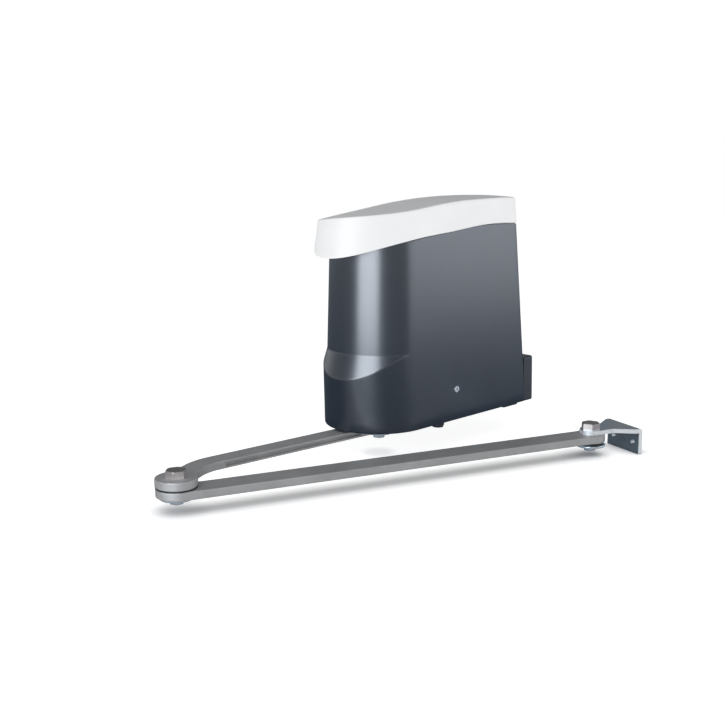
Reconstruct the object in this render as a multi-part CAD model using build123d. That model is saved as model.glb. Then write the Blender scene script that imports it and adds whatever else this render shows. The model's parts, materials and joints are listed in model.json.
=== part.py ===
from build123d import *
import math
import os

# Articulated arm gate opener, in millimetres.
# Origin: centre of the wall plate's hole pattern, on the wall face.
# +Y runs into the wall, -Y to the rounded nose, +Z is up.

# Wall foot
foot_height = 56.0
foot_depth = 12.0
foot_corner_radius = 2.5
wall_plate_thickness = 5.0
wall_hole_spacing_x = 92.0
wall_hole_spacing_z = 32.0
wall_hole_radius = 4.5
anchor_pocket_radius = 10.0
anchor_pocket_depth = 8.0
stud_spacing_x = 46.0
stud_rows = (-4.0, 18.0)
stud_radius = 4.0
foot_washer_radius = 8.0
foot_washer_thickness = 1.6
foot_nut_height = 6.5

# Moulded cover
body_half_width = 62.0
nose_axis_distance = 211.0
cover_wall = 3.0
cover_height = 224.0
side_draft_deg = 1.5
cover_rear_gap = 5.0
rear_lean = 20.0
chin_height = 60.0
chin_ramp_height = 28.0
chin_reach_bottom = 64.0
chin_reach_top = 67.5
rear_corner_radius = 3.5
foot_mouth_depth = 20.0

# Wave line between cover and cap: distance from the wall, height above the skirt
wave_reach = (302.0, 262.0, 206.0, 150.0, 100.0, 8.0)
wave_low = (194.5, 206.7, 215.8, 219.6, 223.4, 221.6)
wave_high = (237.6, 244.2, 248.8, 252.4, 253.8, 250.8)
cap_proud = 2.2
cap_reach_low = 86.0
cap_reach_high = 76.0
cap_draft_in = 3.2
cap_wall = 2.4

# Top of the cap: its crown over the middle, and its fall towards the far side
cap_crown = 0.8
cap_fall_rear = 3.0
cap_fall_nose = 15.5

# Lip and joints between cover, cap and foot
lip_height = 6.0
lip_inset = 1.7
lip_gap = 0.4
shadow_gap = 0.6

# Cover screws, one on each side
cover_screw_distance = 145.0
cover_screw_height = 37.0
cover_screw_radius = 2.0
cover_screw_head_radius = 3.7
cover_screw_head_height = 2.2
cover_screw_length = 16.0

# Base casting and gear chamber
floor_height = 8.0
floor_thickness = 6.0
rim_wall = 3.0
rim_top = 20.0
base_clearance = 0.8
pad_length = 26.0
pad_width = 22.0
pad_drop = 2.5
pad_distance = 25.0
chamber_wall = 4.0
chamber_clearance = 1.5
lid_screw_boss = 6.5
lid_screw_front_deg = 45.0
lid_screw_back_deg = 31.0
lid_screw_cluster_deg = 25.0
lid_thickness = 6.0
gasket_thickness = 1.0
lid_screw_radius = 2.5
lid_screw_length = 16.0

# Gear train: gear on the output shaft, cluster gear, drive pinion
output_teeth = 48
cluster_pinion_teeth = 12
output_module = 1.75
cluster_teeth = 44
drive_teeth = 14
drive_module = 1.25
pressure_angle = 25.0
addendum_factor = 0.85
dedendum_factor = 1.2
backlash = 0.24
output_face_width = 15.0
drive_face_width = 8.0
gear_play = 0.6
axle_radius = 5.0

# Output shaft, bearings and seal
shaft_radius = 12.5
shaft_gear_seat_radius = 11.0
shaft_neck_radius = 8.5
shaft_square = 18.0
lower_bearing_radius = 23.5
lower_bearing_height = 12.0
upper_bearing_radius = 20.0
upper_bearing_height = 12.0
bearing_ring = 3.4
bearing_shield_inset = 0.5
seal_radius = 20.0
seal_height = 5.0
key_size = 6.0
running_clearance = 0.05
assembly_clearance = 0.05

# End stops inside the gearbox
swing_limit_deg = 100.0
dog_orbit = 32.0
dog_radius = 4.0
dog_height = 6.0
stop_gap = 0.5
stop_lug_depth = 9.0
stop_lug_width = 8.0

# Gearmotor
gearhead_radius = 31.0
gearhead_height = 34.0
gearhead_flange = 5.0
motor_radius = 34.0
motor_height = 82.0
motor_cap_height = 9.0
drive_shaft_radius = 4.0

# Release spindle, its eccentric cam and the clutch plunger
release_distance = 158.0
release_spindle_radius = 4.0
release_barrel_radius = 6.6
release_barrel_rim = 7.4
release_barrel_drop = 8.5
release_key_flats = 5.0
cam_radius = 7.0
cam_throw = 4.0
cam_height = 8.0
cam_gap = 0.9
plunger_level = 14.0
plunger_radius = 3.0
plunger_seat = 8.0

# Terminal tray
tray_distance = 66.0
tray_width = 92.0
tray_height = 150.0
tray_wall = 2.5
tray_foot = 16.0
board_width = 72.0
board_height = 96.0
board_thickness = 1.6
board_standoff = 6.0
board_screw_inset = 6.0
board_screw_radius = 1.5
block_spacing = 24.0
block_width = 20.0
block_depth = 11.0
block_height = 12.0
block_level = 12.0
block_pole_spacing = 6.0
block_screw_radius = 1.6
block_wire_width = 3.6

# Cable gland in the floor
gland_x = -22.0
gland_distance = 60.0
gland_bore_radius = 4.25
gland_thread_radius = 8.0
gland_hex = 22.0
gland_height = 7.5

# Arms
arm_clearance = 2.0
arm_1_length = 294.0
arm_1_thickness = 9.0
arm_1_width = 23.0
arm_1_hub_radius = 23.0
arm_1_eye_radius = 21.5
arm_1_neck_setback = 47.0
arm_1_neck_aside = 23.0
arm_1_neck_radius = 62.0
arm_1_eye_blend = 16.0
arm_1_outer_blend = 34.0
arm_1_hub_blend = 12.0
arm_1_groove_depth = 3.2
arm_1_groove_height = 4.4
arm_1_groove_start = 34.0
arm_1_groove_setback = 24.0
arm_2_length = 492.0
arm_2_thickness = 9.0
arm_2_width = 30.0
arm_2_eye_radius = 21.0
arm_2_tip_radius = 17.0
arm_2_aside = 6.0
arm_2_blend = 20.0
arm_2_tip_blend = 12.0
arm_edge_radius = 1.2
slip_ring_thickness = 1.2
axial_play = 0.1
arm_1_rest_deg = -88.8
arm_2_rest_deg = 69.3
bracket_rest_deg = 73.0

# Pivot pins, bushes and their fixings
pin_radius = 6.0
pin_head_flats = 19.0
pin_head_height = 7.5
pin_head_chamfer = 0.9
bush_wall = 2.0
pin_washer_radius = 17.3
pin_washer_thickness = 2.5
screw_radius = 4.0
screw_length = 16.0
screw_head_flats = 13.0
screw_head_height = 5.3
spacer_radius = 15.0
spacer_thickness = 3.0
hub_washer_radius = 16.0
hub_washer_thickness = 3.0

# Gate bracket
bracket_thickness = 5.0
bracket_reach = 54.0
bracket_tongue_radius = 12.5
bracket_width = 55.0
bracket_shoulder_start = 23.0
bracket_shoulder_end = 45.0
bracket_drop = 30.0
bracket_hole_radius = 3.25
bracket_hole_spacing = 34.0
bracket_hole_drop = 18.0
bracket_bend_radius = 4.0

# Levels worked out from the sizes above
skirt_z = -foot_height / 2
floor_z = skirt_z + floor_height
floor_top = floor_z + floor_thickness
lower_bearing_bottom = floor_z - 2.0
lower_bearing_top = lower_bearing_bottom + lower_bearing_height
gear_z = lower_bearing_top + 1.5
gear_top = gear_z + output_face_width
cluster_z = gear_top + gear_play
cluster_top = cluster_z + drive_face_width
lid_z = cluster_top + gear_play
lid_top = lid_z + lid_thickness
upper_bearing_z = lid_z + 1.0
gearhead_top = lid_top + gearhead_height
motor_top = gearhead_top + motor_height
cover_rear = wall_plate_thickness + foot_depth
arm_1_neck_along = arm_1_length - arm_1_neck_setback
arm_1_groove_end = arm_1_neck_along - arm_1_groove_setback

arm_1_z = skirt_z - arm_clearance - arm_1_thickness
arm_2_z = arm_1_z - slip_ring_thickness - 2 * axial_play - arm_2_thickness
tongue_z = arm_2_z + arm_2_thickness + axial_play
elbow_washer_z = arm_2_z - axial_play - pin_washer_thickness
spacer_z = arm_2_z - axial_play - spacer_thickness
bracket_washer_z = spacer_z - pin_washer_thickness
hub_washer_z = arm_1_z - hub_washer_thickness

# Axes in plan
output_y = -nose_axis_distance
cluster_y = output_y + output_module * (output_teeth + cluster_pinion_teeth) / 2
drive_y = cluster_y + drive_module * (cluster_teeth + drive_teeth) / 2
output_tip = output_module * (output_teeth / 2 + addendum_factor)
cluster_tip = drive_module * (cluster_teeth / 2 + addendum_factor)
drive_tip = drive_module * (drive_teeth / 2 + addendum_factor)


def polar(origin, length, angle_deg):
    """Point at a length and bearing from another point, in plan."""
    turn = math.radians(angle_deg)
    return (origin[0] + length * math.cos(turn), origin[1] + length * math.sin(turn))


output_point = (0.0, output_y)
elbow_point = polar(output_point, arm_1_length, arm_1_rest_deg)
bracket_point = polar(elbow_point, arm_2_length, arm_2_rest_deg)


def cylinder(x, y, z, radius, height):
    """Upright cylinder standing on z."""
    return Pos(x, y, z) * Cylinder(radius, height, align=(Align.CENTER, Align.CENTER, Align.MIN))


def ring(x, y, z, outer, inner, height):
    return cylinder(x, y, z, outer, height) - cylinder(x, y, z, inner, height)


def block(x0, x1, y0, y1, z0, z1):
    return Pos((x0 + x1) / 2, (y0 + y1) / 2, (z0 + z1) / 2) * Box(x1 - x0, y1 - y0, z1 - z0)


def hexagon(x, y, z, flats, height, turn=0.0):
    sketch = RegularPolygon(flats / 2, 6, major_radius=False)
    return extrude(Pos(x, y, z) * Rot(0, 0, turn) * sketch, height)


def lying(x, y, z, radius, length):
    """Cylinder along +Y from y."""
    return Pos(x, y, z) * Rot(-90, 0, 0) * Cylinder(
        radius, length, align=(Align.CENTER, Align.CENTER, Align.MIN))


# Outline of the housing in plan


def stadium(half_width, reach, rear, corner=0.0):
    """Straight sides, a flat rear edge and a half-elliptic nose."""
    outline = [
        Line((-half_width, output_y), (-half_width, -rear)),
        Line((-half_width, -rear), (half_width, -rear)),
        Line((half_width, -rear), (half_width, output_y)),
        EllipticalCenterArc((0, output_y), half_width, reach, start_angle=180, arc_size=180),
    ]
    face = make_face(outline)
    if corner > 0:
        rear_corners = [v for v in face.vertices() if abs(v.Y + rear) < 0.01]
        face = fillet(rear_corners, corner)
    return face


def half_width_at(height):
    return body_half_width - height * math.tan(math.radians(side_draft_deg))


base_half = half_width_at(floor_height) - cover_wall - base_clearance
chamber_half = cluster_tip + chamber_clearance + chamber_wall
release_point = ((chamber_half + base_half - rim_wall) / 2, -release_distance)


def rear_at(height):
    return cover_rear - cover_rear_gap + rear_lean * height / cover_height


def body_prism(inset, top):
    """Drafted housing form from the skirt up to a height above it."""
    sections = []
    for height in (0.0, top):
        half = half_width_at(height) - inset
        face = stadium(half, half, rear_at(height) + inset, rear_corner_radius - inset)
        sections.append(Pos(0, 0, skirt_z + height) * face)
    return loft(sections, ruled=True)


def chin(inset):
    """Fuller lower nose, cut back under the upper one by a sloping crescent."""
    ramp_top = chin_height + chin_ramp_height
    lower = []
    for height in (0.0, ramp_top):
        reach = chin_reach_bottom + (chin_reach_top - chin_reach_bottom) * height / chin_height
        half = half_width_at(height) - inset - 0.3
        face = stadium(half, reach - inset, nose_axis_distance - body_half_width)
        lower.append(Pos(0, 0, skirt_z + height) * face)
    half = half_width_at(ramp_top) - inset
    slope = (chin_reach_top - half_width_at(ramp_top)) / chin_ramp_height
    spread = slope * ramp_top
    tent = loft([
        Pos(0, 0, skirt_z + ramp_top) * stadium(half, half, cover_rear),
        Pos(0, 0, skirt_z) * stadium(half + spread, half + spread, cover_rear),
    ], ruled=True)
    return loft(lower, ruled=True) & tent


def wave_face(heights, side, x=0.0):
    """Side view, at x, of everything below (side -1) or above (side +1) a wave line."""
    points = [(-reach, skirt_z + height) for reach, height in zip(wave_reach, heights)]
    limit = skirt_z + side * 2 * cover_height
    front = (points[0][0], limit)
    back = (points[-1][0], limit)
    edges = [Spline(points), Line(points[-1], back), Line(back, front), Line(front, points[0])]
    return make_face([Plane.YZ.offset(x) * edge for edge in edges])


def wave_solid(shift, side):
    """Everything below or above the joint between cover and cap, shifted up."""
    heights = [height + shift for height in wave_low]
    return extrude(wave_face(heights, side), body_half_width * 2, both=True)


def under_cap_top(shift):
    """Everything below the cap's top, which is crowned and falls to the far side, more so at the nose."""
    near = [height + shift for height in wave_high]
    middle = [height + cap_crown for height in near]
    slope = (cap_fall_nose - cap_fall_rear) / (wave_reach[0] - wave_reach[-1])
    far = [height - cap_fall_rear - slope * (reach - wave_reach[-1]) for height, reach in zip(near, wave_reach)]
    return loft([
        wave_face(near, -1, body_half_width),
        wave_face(middle, -1),
        wave_face(far, -1, -body_half_width),
    ])


def cap_prism(inset):
    """Plan of the cap, which reaches out over the nose like a peak."""
    sections = []
    for height, reach, draft in ((min(wave_low), cap_reach_low, 0.0),
                                 (max(wave_high), cap_reach_high, cap_draft_in)):
        half = half_width_at(height) + cap_proud - draft - inset
        face = stadium(half, reach - inset, rear_at(height) - lip_gap + inset, rear_corner_radius - inset)
        sections.append(Pos(0, 0, skirt_z + height) * face)
    return loft(sections, ruled=True)


# Housing pieces


def side_screw_holes(radius, x0, x1, y, z):
    """One cylinder on each side, from x0 out to x1."""
    hole = Pos(x0, y, z) * Rot(0, 90, 0) * Cylinder(
        radius, x1 - x0, align=(Align.CENTER, Align.CENTER, Align.MIN))
    return hole + mirror(hole, Plane.YZ)


cover_screw_z = skirt_z + cover_screw_height
cover_screw_seat = half_width_at(cover_screw_height) - 0.8


def make_cover():
    outer = (body_prism(0.0, cover_height + 10) + chin(0.0)) & wave_solid(-shadow_gap, -1)
    lip = body_prism(lip_inset, cover_height + 10) & wave_solid(lip_height, -1)
    cavity = body_prism(cover_wall, cover_height + 10) + chin(cover_wall)
    shell = outer + lip - cavity
    mouth = body_half_width - rear_corner_radius
    top = lip_gap - skirt_z
    shell -= block(-body_half_width, body_half_width, -cover_rear - lip_gap, 0, skirt_z - 1, top)
    shell -= block(-mouth, mouth, -cover_rear - foot_mouth_depth, 0, skirt_z - 1, top)
    shell -= side_screw_holes(cover_screw_radius + 0.3, 0, body_half_width + 5, -cover_screw_distance,
                              cover_screw_z)
    shell -= side_screw_holes(cover_screw_head_radius + 0.4, cover_screw_seat, body_half_width + 5,
                              -cover_screw_distance, cover_screw_z)
    return shell


def make_cap():
    outer = cap_prism(0.0) & under_cap_top(0.0) & wave_solid(0.0, 1)
    room = cap_prism(cap_wall) & under_cap_top(-cap_wall) & wave_solid(cap_wall, 1)
    mouth = body_prism(lip_inset - lip_gap, cover_height + 40) & under_cap_top(-cap_wall)
    return outer - room - mouth


def make_cover_screws():
    x = cover_screw_seat
    head = Pos(x, -cover_screw_distance, cover_screw_z) * Rot(0, 90, 0) * Cylinder(
        cover_screw_head_radius, cover_screw_head_height, align=(Align.CENTER, Align.CENTER, Align.MIN))
    rim = head.edges().filter_by(GeomType.CIRCLE).sort_by(Axis.X)[-1]
    head = chamfer(rim, 0.8)
    socket = Pos(x + cover_screw_head_height, -cover_screw_distance, cover_screw_z) * Rot(0, -90, 0)
    head -= socket * extrude(RegularPolygon(1.5, 6, major_radius=False), 1.4)
    shank = Pos(x, -cover_screw_distance, cover_screw_z) * Rot(0, -90, 0) * Cylinder(
        cover_screw_radius, cover_screw_length, align=(Align.CENTER, Align.CENTER, Align.MIN))
    screw = head + shank
    return Compound([screw.solid(), mirror(screw, Plane.YZ).solid()])


# Gear chamber


def chamber_plan(grow):
    """Outline round the three gears, grown outwards."""
    circles = [
        Pos(0, output_y) * Circle(output_tip + chamber_clearance + grow),
        Pos(0, cluster_y) * Circle(cluster_tip + chamber_clearance + grow),
        Pos(0, drive_y) * Circle(drive_tip + chamber_clearance + grow),
    ]
    edges = []
    for circle in circles:
        edges += circle.edges()
    return make_hull(edges)


lid_screw_orbit = output_tip + chamber_clearance + lid_screw_boss
lid_cluster_orbit = cluster_tip + chamber_clearance + lid_screw_boss
lid_screw_points = [
    polar(output_point, lid_screw_orbit, 180.0 + lid_screw_front_deg),
    polar(output_point, lid_screw_orbit, -lid_screw_front_deg),
    polar(output_point, lid_screw_orbit, 180.0 - lid_screw_back_deg),
    polar(output_point, lid_screw_orbit, lid_screw_back_deg),
    polar((0.0, cluster_y), lid_cluster_orbit, 180.0 - lid_screw_cluster_deg),
    polar((0.0, cluster_y), lid_cluster_orbit, lid_screw_cluster_deg),
]


def boss_plan():
    bosses = Pos(*lid_screw_points[0]) * Circle(lid_screw_boss)
    for point in lid_screw_points[1:]:
        bosses += Pos(*point) * Circle(lid_screw_boss)
    return bosses


stud_points = [(x * stud_spacing_x / 2, z) for x in (-1, 1) for z in stud_rows]


def foot_form(front, back):
    """Foot between two distances from the wall, flush with the cover's drafted sides."""
    low = half_width_at(0.0)
    high = half_width_at(foot_height)
    corners = [(-low, skirt_z), (low, skirt_z), (high, -skirt_z), (-high, -skirt_z)]
    outline = make_face(Polyline(*corners, close=True))
    outline = fillet(outline.vertices(), foot_corner_radius)
    return extrude(Plane.XZ.offset(front) * outline, back - front)


def make_base():
    half = base_half
    rear = cover_rear
    outline = stadium(half, half, rear, rear_corner_radius + rim_wall)
    floor = Pos(0, 0, floor_z) * extrude(outline, floor_thickness)
    rim = Pos(0, 0, skirt_z + 1) * extrude(outline, rim_top - 1)
    rim -= Pos(0, 0, skirt_z + 1) * extrude(
        stadium(half - rim_wall, half - rim_wall, rear - rim_wall), rim_top - 1)
    walls = extrude(Pos(0, 0, floor_top) * (chamber_plan(chamber_wall) + boss_plan()),
                    lid_z - gasket_thickness - floor_top)
    walls -= extrude(Pos(0, 0, floor_top) * chamber_plan(0.0), lid_z - gasket_thickness - floor_top)
    foot = foot_form(wall_plate_thickness, cover_rear)
    boss = cylinder(0, output_y, skirt_z - 0.5, lower_bearing_radius + 6, lower_bearing_top - skirt_z - 0.5)
    casting = floor + rim + walls + foot + boss
    post_half = 6.0
    for side in (-1, 1):
        x = side * (half - pad_width / 2)
        pad = block(x - pad_width / 2, x + pad_width / 2, -pad_distance - pad_length, -pad_distance,
                    skirt_z - pad_drop, floor_z + 1)
        casting += pad
        rib_x = side * (half - 12)
        casting += block(rib_x - 2, rib_x + 2, -rear - 30, -rear, floor_top - 1, floor_top + 14)
        post = side * (cover_screw_seat - cover_wall - base_clearance - post_half)
        casting += block(post - post_half, post + post_half, -cover_screw_distance - post_half,
                         -cover_screw_distance + post_half, floor_top - 1, cover_screw_z + post_half)
    casting += cylinder(0, cluster_y, floor_top - 1, axle_radius + 4, gear_z - gear_play - floor_top + 1)
    casting -= cylinder(0, output_y, skirt_z - 2, seal_radius, seal_height + 1.5)
    casting -= cylinder(0, output_y, skirt_z - 2, shaft_radius + 3, foot_height)
    casting -= cylinder(0, output_y, lower_bearing_bottom, lower_bearing_radius, foot_height)
    casting -= cylinder(0, cluster_y, floor_z + 1, axle_radius, foot_height)
    casting -= cylinder(*release_point, floor_z - 2, release_barrel_radius, floor_thickness + 4)
    casting -= cylinder(gland_x, -gland_distance, floor_z - 2, gland_thread_radius + 0.2, floor_thickness + 4)
    casting -= side_screw_holes(cover_screw_radius, 30, body_half_width, -cover_screw_distance, cover_screw_z)
    for x, y in lid_screw_points:
        casting -= cylinder(x, y, lid_z - lid_screw_length, lid_screw_radius, lid_screw_length)
    for x in (-1, 1):
        for z in (-1, 1):
            casting -= lying(x * wall_hole_spacing_x / 2, -wall_plate_thickness - anchor_pocket_depth,
                             z * wall_hole_spacing_z / 2, anchor_pocket_radius, anchor_pocket_depth)
    for x, z in stud_points:
        casting -= lying(x, -cover_rear, z, stud_radius + 0.3, foot_depth)
    return casting


def make_gasket():
    plan = chamber_plan(chamber_wall) + boss_plan() - chamber_plan(0.0)
    for x, y in lid_screw_points:
        plan -= Pos(x, y) * Circle(lid_screw_radius + 0.3)
    return extrude(Pos(0, 0, lid_z - gasket_thickness) * plan, gasket_thickness)


def make_lid():
    plan = chamber_plan(chamber_wall) + boss_plan() + Pos(0, drive_y) * Circle(gearhead_radius + 3)
    lid = extrude(Pos(0, 0, lid_z) * plan, lid_thickness)
    bearing_top = upper_bearing_z + upper_bearing_height
    lid += cylinder(0, output_y, lid_z, upper_bearing_radius + 5, bearing_top + 3 - lid_z)
    lid -= cylinder(0, output_y, upper_bearing_z, upper_bearing_radius, upper_bearing_height)
    lid -= cylinder(0, output_y, lid_z - 1, upper_bearing_radius - 3, 4)
    turn = math.degrees((dog_radius + stop_gap + stop_lug_width / 2) / dog_orbit)
    for side in (-1, 1):
        angle = arm_1_rest_deg + side * (swing_limit_deg + turn)
        x, y = polar(output_point, dog_orbit, angle)
        lid += Pos(x, y, gear_top + gear_play) * Rot(0, 0, angle) * Box(
            stop_lug_depth, stop_lug_width, lid_top - gear_top - gear_play - 1,
            align=(Align.CENTER, Align.CENTER, Align.MIN))
    lid -= cylinder(0, cluster_y, lid_z - 1, axle_radius, lid_thickness - 1)
    lid -= cylinder(0, drive_y, lid_z - 1, drive_tip + 1, lid_thickness + 2)
    for x, y in lid_screw_points:
        lid -= cylinder(x, y, lid_z - 1, lid_screw_radius + 0.3, lid_thickness + 2)
    for x, y in gearhead_screw_points:
        lid -= cylinder(x, y, lid_top - 5.5, 2.0, 6)
    return lid


def socket_screw(x, y, seat, radius, length, head_radius, head_height):
    """Upright cap screw whose head sits on the seat level."""
    screw = cylinder(x, y, seat, head_radius, head_height) + cylinder(x, y, seat - length, radius, length)
    return screw - hexagon(x, y, seat + head_height / 2, radius * 1.6, head_height / 2)


def make_lid_screws():
    return Compound([
        socket_screw(x, y, lid_top, lid_screw_radius - assembly_clearance, lid_screw_length, 4.2, 5.0).solid()
        for x, y in lid_screw_points
    ])


# Gears


def gear_plan(teeth, module, turn_deg):
    """Involute spur gear with one tooth centred at the given bearing."""
    pitch = module * teeth / 2
    base = pitch * math.cos(math.radians(pressure_angle))
    tip = pitch + addendum_factor * module
    root = pitch - dedendum_factor * module

    def roll(radius):
        if radius <= base:
            return 0.0
        alpha = math.acos(base / radius)
        return math.tan(alpha) - alpha

    half_at_pitch = (math.pi * module / 2 - backlash) / (2 * pitch)
    flank = []
    steps = 2
    start = max(root, base)
    for step in range(steps + 1):
        radius = start + (tip - start) * step / steps
        flank.append((radius, half_at_pitch + roll(pitch) - roll(radius)))
    if root < base:
        flank.insert(0, (root, flank[0][1]))
    points = []
    for tooth in range(teeth):
        centre = math.radians(turn_deg) + 2 * math.pi * tooth / teeth
        for radius, half in flank:
            points.append((radius * math.cos(centre - half), radius * math.sin(centre - half)))
        for radius, half in reversed(flank):
            points.append((radius * math.cos(centre + half), radius * math.sin(centre + half)))
    return make_face(Polyline(*points, close=True))


def gap_turn(teeth, facing_deg):
    """Bearing of a tooth so that a gap faces the given way."""
    return facing_deg + 180.0 / teeth


def make_output_gear():
    plan = gear_plan(output_teeth, output_module, 90.0) - Circle(shaft_gear_seat_radius + assembly_clearance)
    gear = extrude(Pos(0, output_y, gear_z) * plan, output_face_width)
    web = ring(0, output_y, gear_top - 4, output_tip - 9, 17, 4)
    gear -= web
    x, y = polar(output_point, dog_orbit, arm_1_rest_deg)
    gear += cylinder(x, y, gear_z, dog_radius + 3, output_face_width)
    gear -= cylinder(x, y, gear_z + 4, dog_radius, output_face_width)
    half_key = key_size / 2 + assembly_clearance
    gear -= block(-half_key, half_key, output_y, output_y + shaft_gear_seat_radius + key_size / 2 + 0.1,
                  gear_z, gear_top)
    return gear


def make_cluster_gear():
    big = extrude(Pos(0, cluster_y, cluster_z) * gear_plan(cluster_teeth, drive_module, 90.0), drive_face_width)
    small = extrude(
        Pos(0, cluster_y, gear_z - 0.3) * gear_plan(cluster_pinion_teeth, output_module,
                                                    gap_turn(cluster_pinion_teeth, -90.0)),
        cluster_z - gear_z + 0.3)
    gear = big + small
    gear -= cylinder(0, cluster_y, gear_z - 1, axle_radius + running_clearance, foot_height)
    recess = ring(0, cluster_y, cluster_top - 2.5, cluster_tip - 5, 10, 3)
    return gear - recess


def make_drive_pinion():
    plan = gear_plan(drive_teeth, drive_module, gap_turn(drive_teeth, -90.0))
    pinion = extrude(Pos(0, drive_y, cluster_z + 0.2) * plan, drive_face_width)
    shaft_top = lid_top + 14
    return pinion + cylinder(0, drive_y, cluster_z + 0.2, drive_shaft_radius, shaft_top - cluster_z - 0.2)


def make_cluster_axle():
    return cylinder(0, cluster_y, floor_z + 1, axle_radius, lid_z + lid_thickness - 3 - floor_z)


# Output shaft and its bearings


def make_output_shaft():
    square_z = arm_1_z
    shaft = Pos(0, output_y, square_z) * Rot(0, 0, arm_1_rest_deg) * Box(
        shaft_square, shaft_square, arm_1_thickness + 1, align=(Align.CENTER, Align.CENTER, Align.MIN))
    shaft &= cylinder(0, output_y, square_z, shaft_radius, arm_1_thickness + 1)
    top = arm_1_z + arm_1_thickness
    shaft += cylinder(0, output_y, top, shaft_radius, lower_bearing_top - top)
    shaft += cylinder(0, output_y, lower_bearing_top, shaft_radius + 2.5, gear_z - lower_bearing_top)
    shaft += cylinder(0, output_y, gear_z, shaft_gear_seat_radius, upper_bearing_z - gear_z)
    shaft += cylinder(0, output_y, upper_bearing_z, shaft_neck_radius, upper_bearing_height)
    shaft -= cylinder(0, output_y, square_z, screw_radius, screw_length + 4)
    half_key = key_size / 2 + assembly_clearance
    shaft -= block(-half_key, half_key, output_y + shaft_gear_seat_radius - key_size / 2,
                   output_y + shaft_radius, gear_z + 1, gear_top)
    return shaft


def make_output_key():
    y = output_y + shaft_gear_seat_radius
    return block(-key_size / 2, key_size / 2, y - key_size / 2 + assembly_clearance, y + key_size / 2,
                 gear_z + 1, gear_top - 0.5)


def bearing(y, z, outer, inner, height):
    """Sealed ball bearing: two rings and the shields between them."""
    body = ring(0, y, z, outer, inner, height)
    groove = ring(0, y, z, outer - bearing_ring, inner + bearing_ring, bearing_shield_inset)
    body -= groove
    return body - Pos(0, 0, height - bearing_shield_inset) * groove


def make_lower_bearing():
    return bearing(output_y, lower_bearing_bottom, lower_bearing_radius, shaft_radius + running_clearance,
                   lower_bearing_height)


def make_upper_bearing():
    return bearing(output_y, upper_bearing_z, upper_bearing_radius, shaft_neck_radius + running_clearance,
                   upper_bearing_height)


def make_shaft_seal():
    return ring(0, output_y, skirt_z - 0.5, seal_radius, shaft_radius + running_clearance, seal_height)


def make_stop_dog():
    x, y = polar(output_point, dog_orbit, arm_1_rest_deg)
    return cylinder(x, y, gear_z + 4, dog_radius, gear_top + dog_height - gear_z - 4)


# Gearmotor


gearhead_screw_points = [polar((0, drive_y), gearhead_radius - 5.0, 90 * step) for step in range(4)]
plunger_deg = math.degrees(math.atan2(drive_y - release_point[1], -release_point[0]))
plunger_z = lid_top + plunger_level
plunger_reach = math.dist(release_point, (0, drive_y)) - gearhead_radius + plunger_seat


def plunger_rod(end, radius):
    """Lying rod from the cam's face towards the drive axis."""
    start = cam_radius + cam_gap
    rod = Cylinder(radius, end - start, align=(Align.CENTER, Align.CENTER, Align.MIN))
    return Pos(*release_point, plunger_z) * Rot(0, 0, plunger_deg) * Pos(start, 0, 0) * Rot(0, 90, 0) * rod


def make_gearhead():
    head = cylinder(0, drive_y, lid_top, gearhead_radius, gearhead_height)
    head -= ring(0, drive_y, lid_top + gearhead_flange, gearhead_radius, gearhead_radius - 2.0,
                 gearhead_height - 2 * gearhead_flange)
    head -= plunger_rod(plunger_reach + cam_throw + 2, plunger_radius + running_clearance)
    head -= cylinder(0, drive_y, lid_top - 1, drive_shaft_radius + running_clearance, 16)
    for x, y in gearhead_screw_points:
        head -= cylinder(x, y, lid_top, 2.2, gearhead_flange)
        head -= cylinder(x, y, lid_top + gearhead_flange, 4.2, gearhead_height - 2 * gearhead_flange)
    return head


def make_gearhead_screws():
    return Compound([
        socket_screw(x, y, lid_top + gearhead_flange, 2.0, gearhead_flange + 5, 3.5, 4.0).solid()
        for x, y in gearhead_screw_points
    ])


def make_motor_can():
    can = cylinder(0, drive_y, gearhead_top, motor_radius, motor_height)
    return chamfer(can.edges().sort_by(Axis.Z)[-1], 2.0)


def make_motor_end_cap():
    cap = cylinder(0, drive_y, motor_top, motor_radius - 5, motor_cap_height)
    cap = chamfer(cap.edges().sort_by(Axis.Z)[-1], 2.0)
    for x in (-10, 10):
        cap += block(x - 4, x + 4, drive_y + 14, drive_y + 19, motor_top, motor_top + motor_cap_height + 3)
        cap -= block(x - 3.15, x + 3.15, drive_y + 16.1, drive_y + 16.9, motor_top + 4, motor_top + 30)
    return cap


def make_motor_terminals():
    return Compound([
        block(x - 3.15, x + 3.15, drive_y + 16.1, drive_y + 16.9, motor_top + 4, motor_top + 19).solid()
        for x in (-10, 10)
    ])


# Release spindle, cam and clutch plunger


def make_release_barrel():
    low = skirt_z - release_barrel_drop
    barrel = cylinder(*release_point, low, release_barrel_radius, floor_top - low)
    barrel += cylinder(*release_point, low + 2, release_barrel_rim, floor_z - low - 2)
    return barrel - cylinder(*release_point, low, release_spindle_radius + running_clearance, foot_height)


def make_release_spindle():
    low = skirt_z - release_barrel_drop + 0.4
    cam_z = plunger_z - cam_height / 2
    spindle = cylinder(*release_point, low, release_spindle_radius, cam_z + cam_height - low)
    spindle += cylinder(*polar(release_point, cam_throw, plunger_deg - 90), cam_z, cam_radius, cam_height)
    spindle += cylinder(*release_point, floor_top, release_spindle_radius + 2, 2)
    return spindle - hexagon(*release_point, low, release_key_flats, release_key_flats)


def make_clutch_plunger():
    rod = plunger_rod(plunger_reach, plunger_radius)
    return chamfer(rod.edges().filter_by(GeomType.CIRCLE), 0.5)


# Terminal tray


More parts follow.
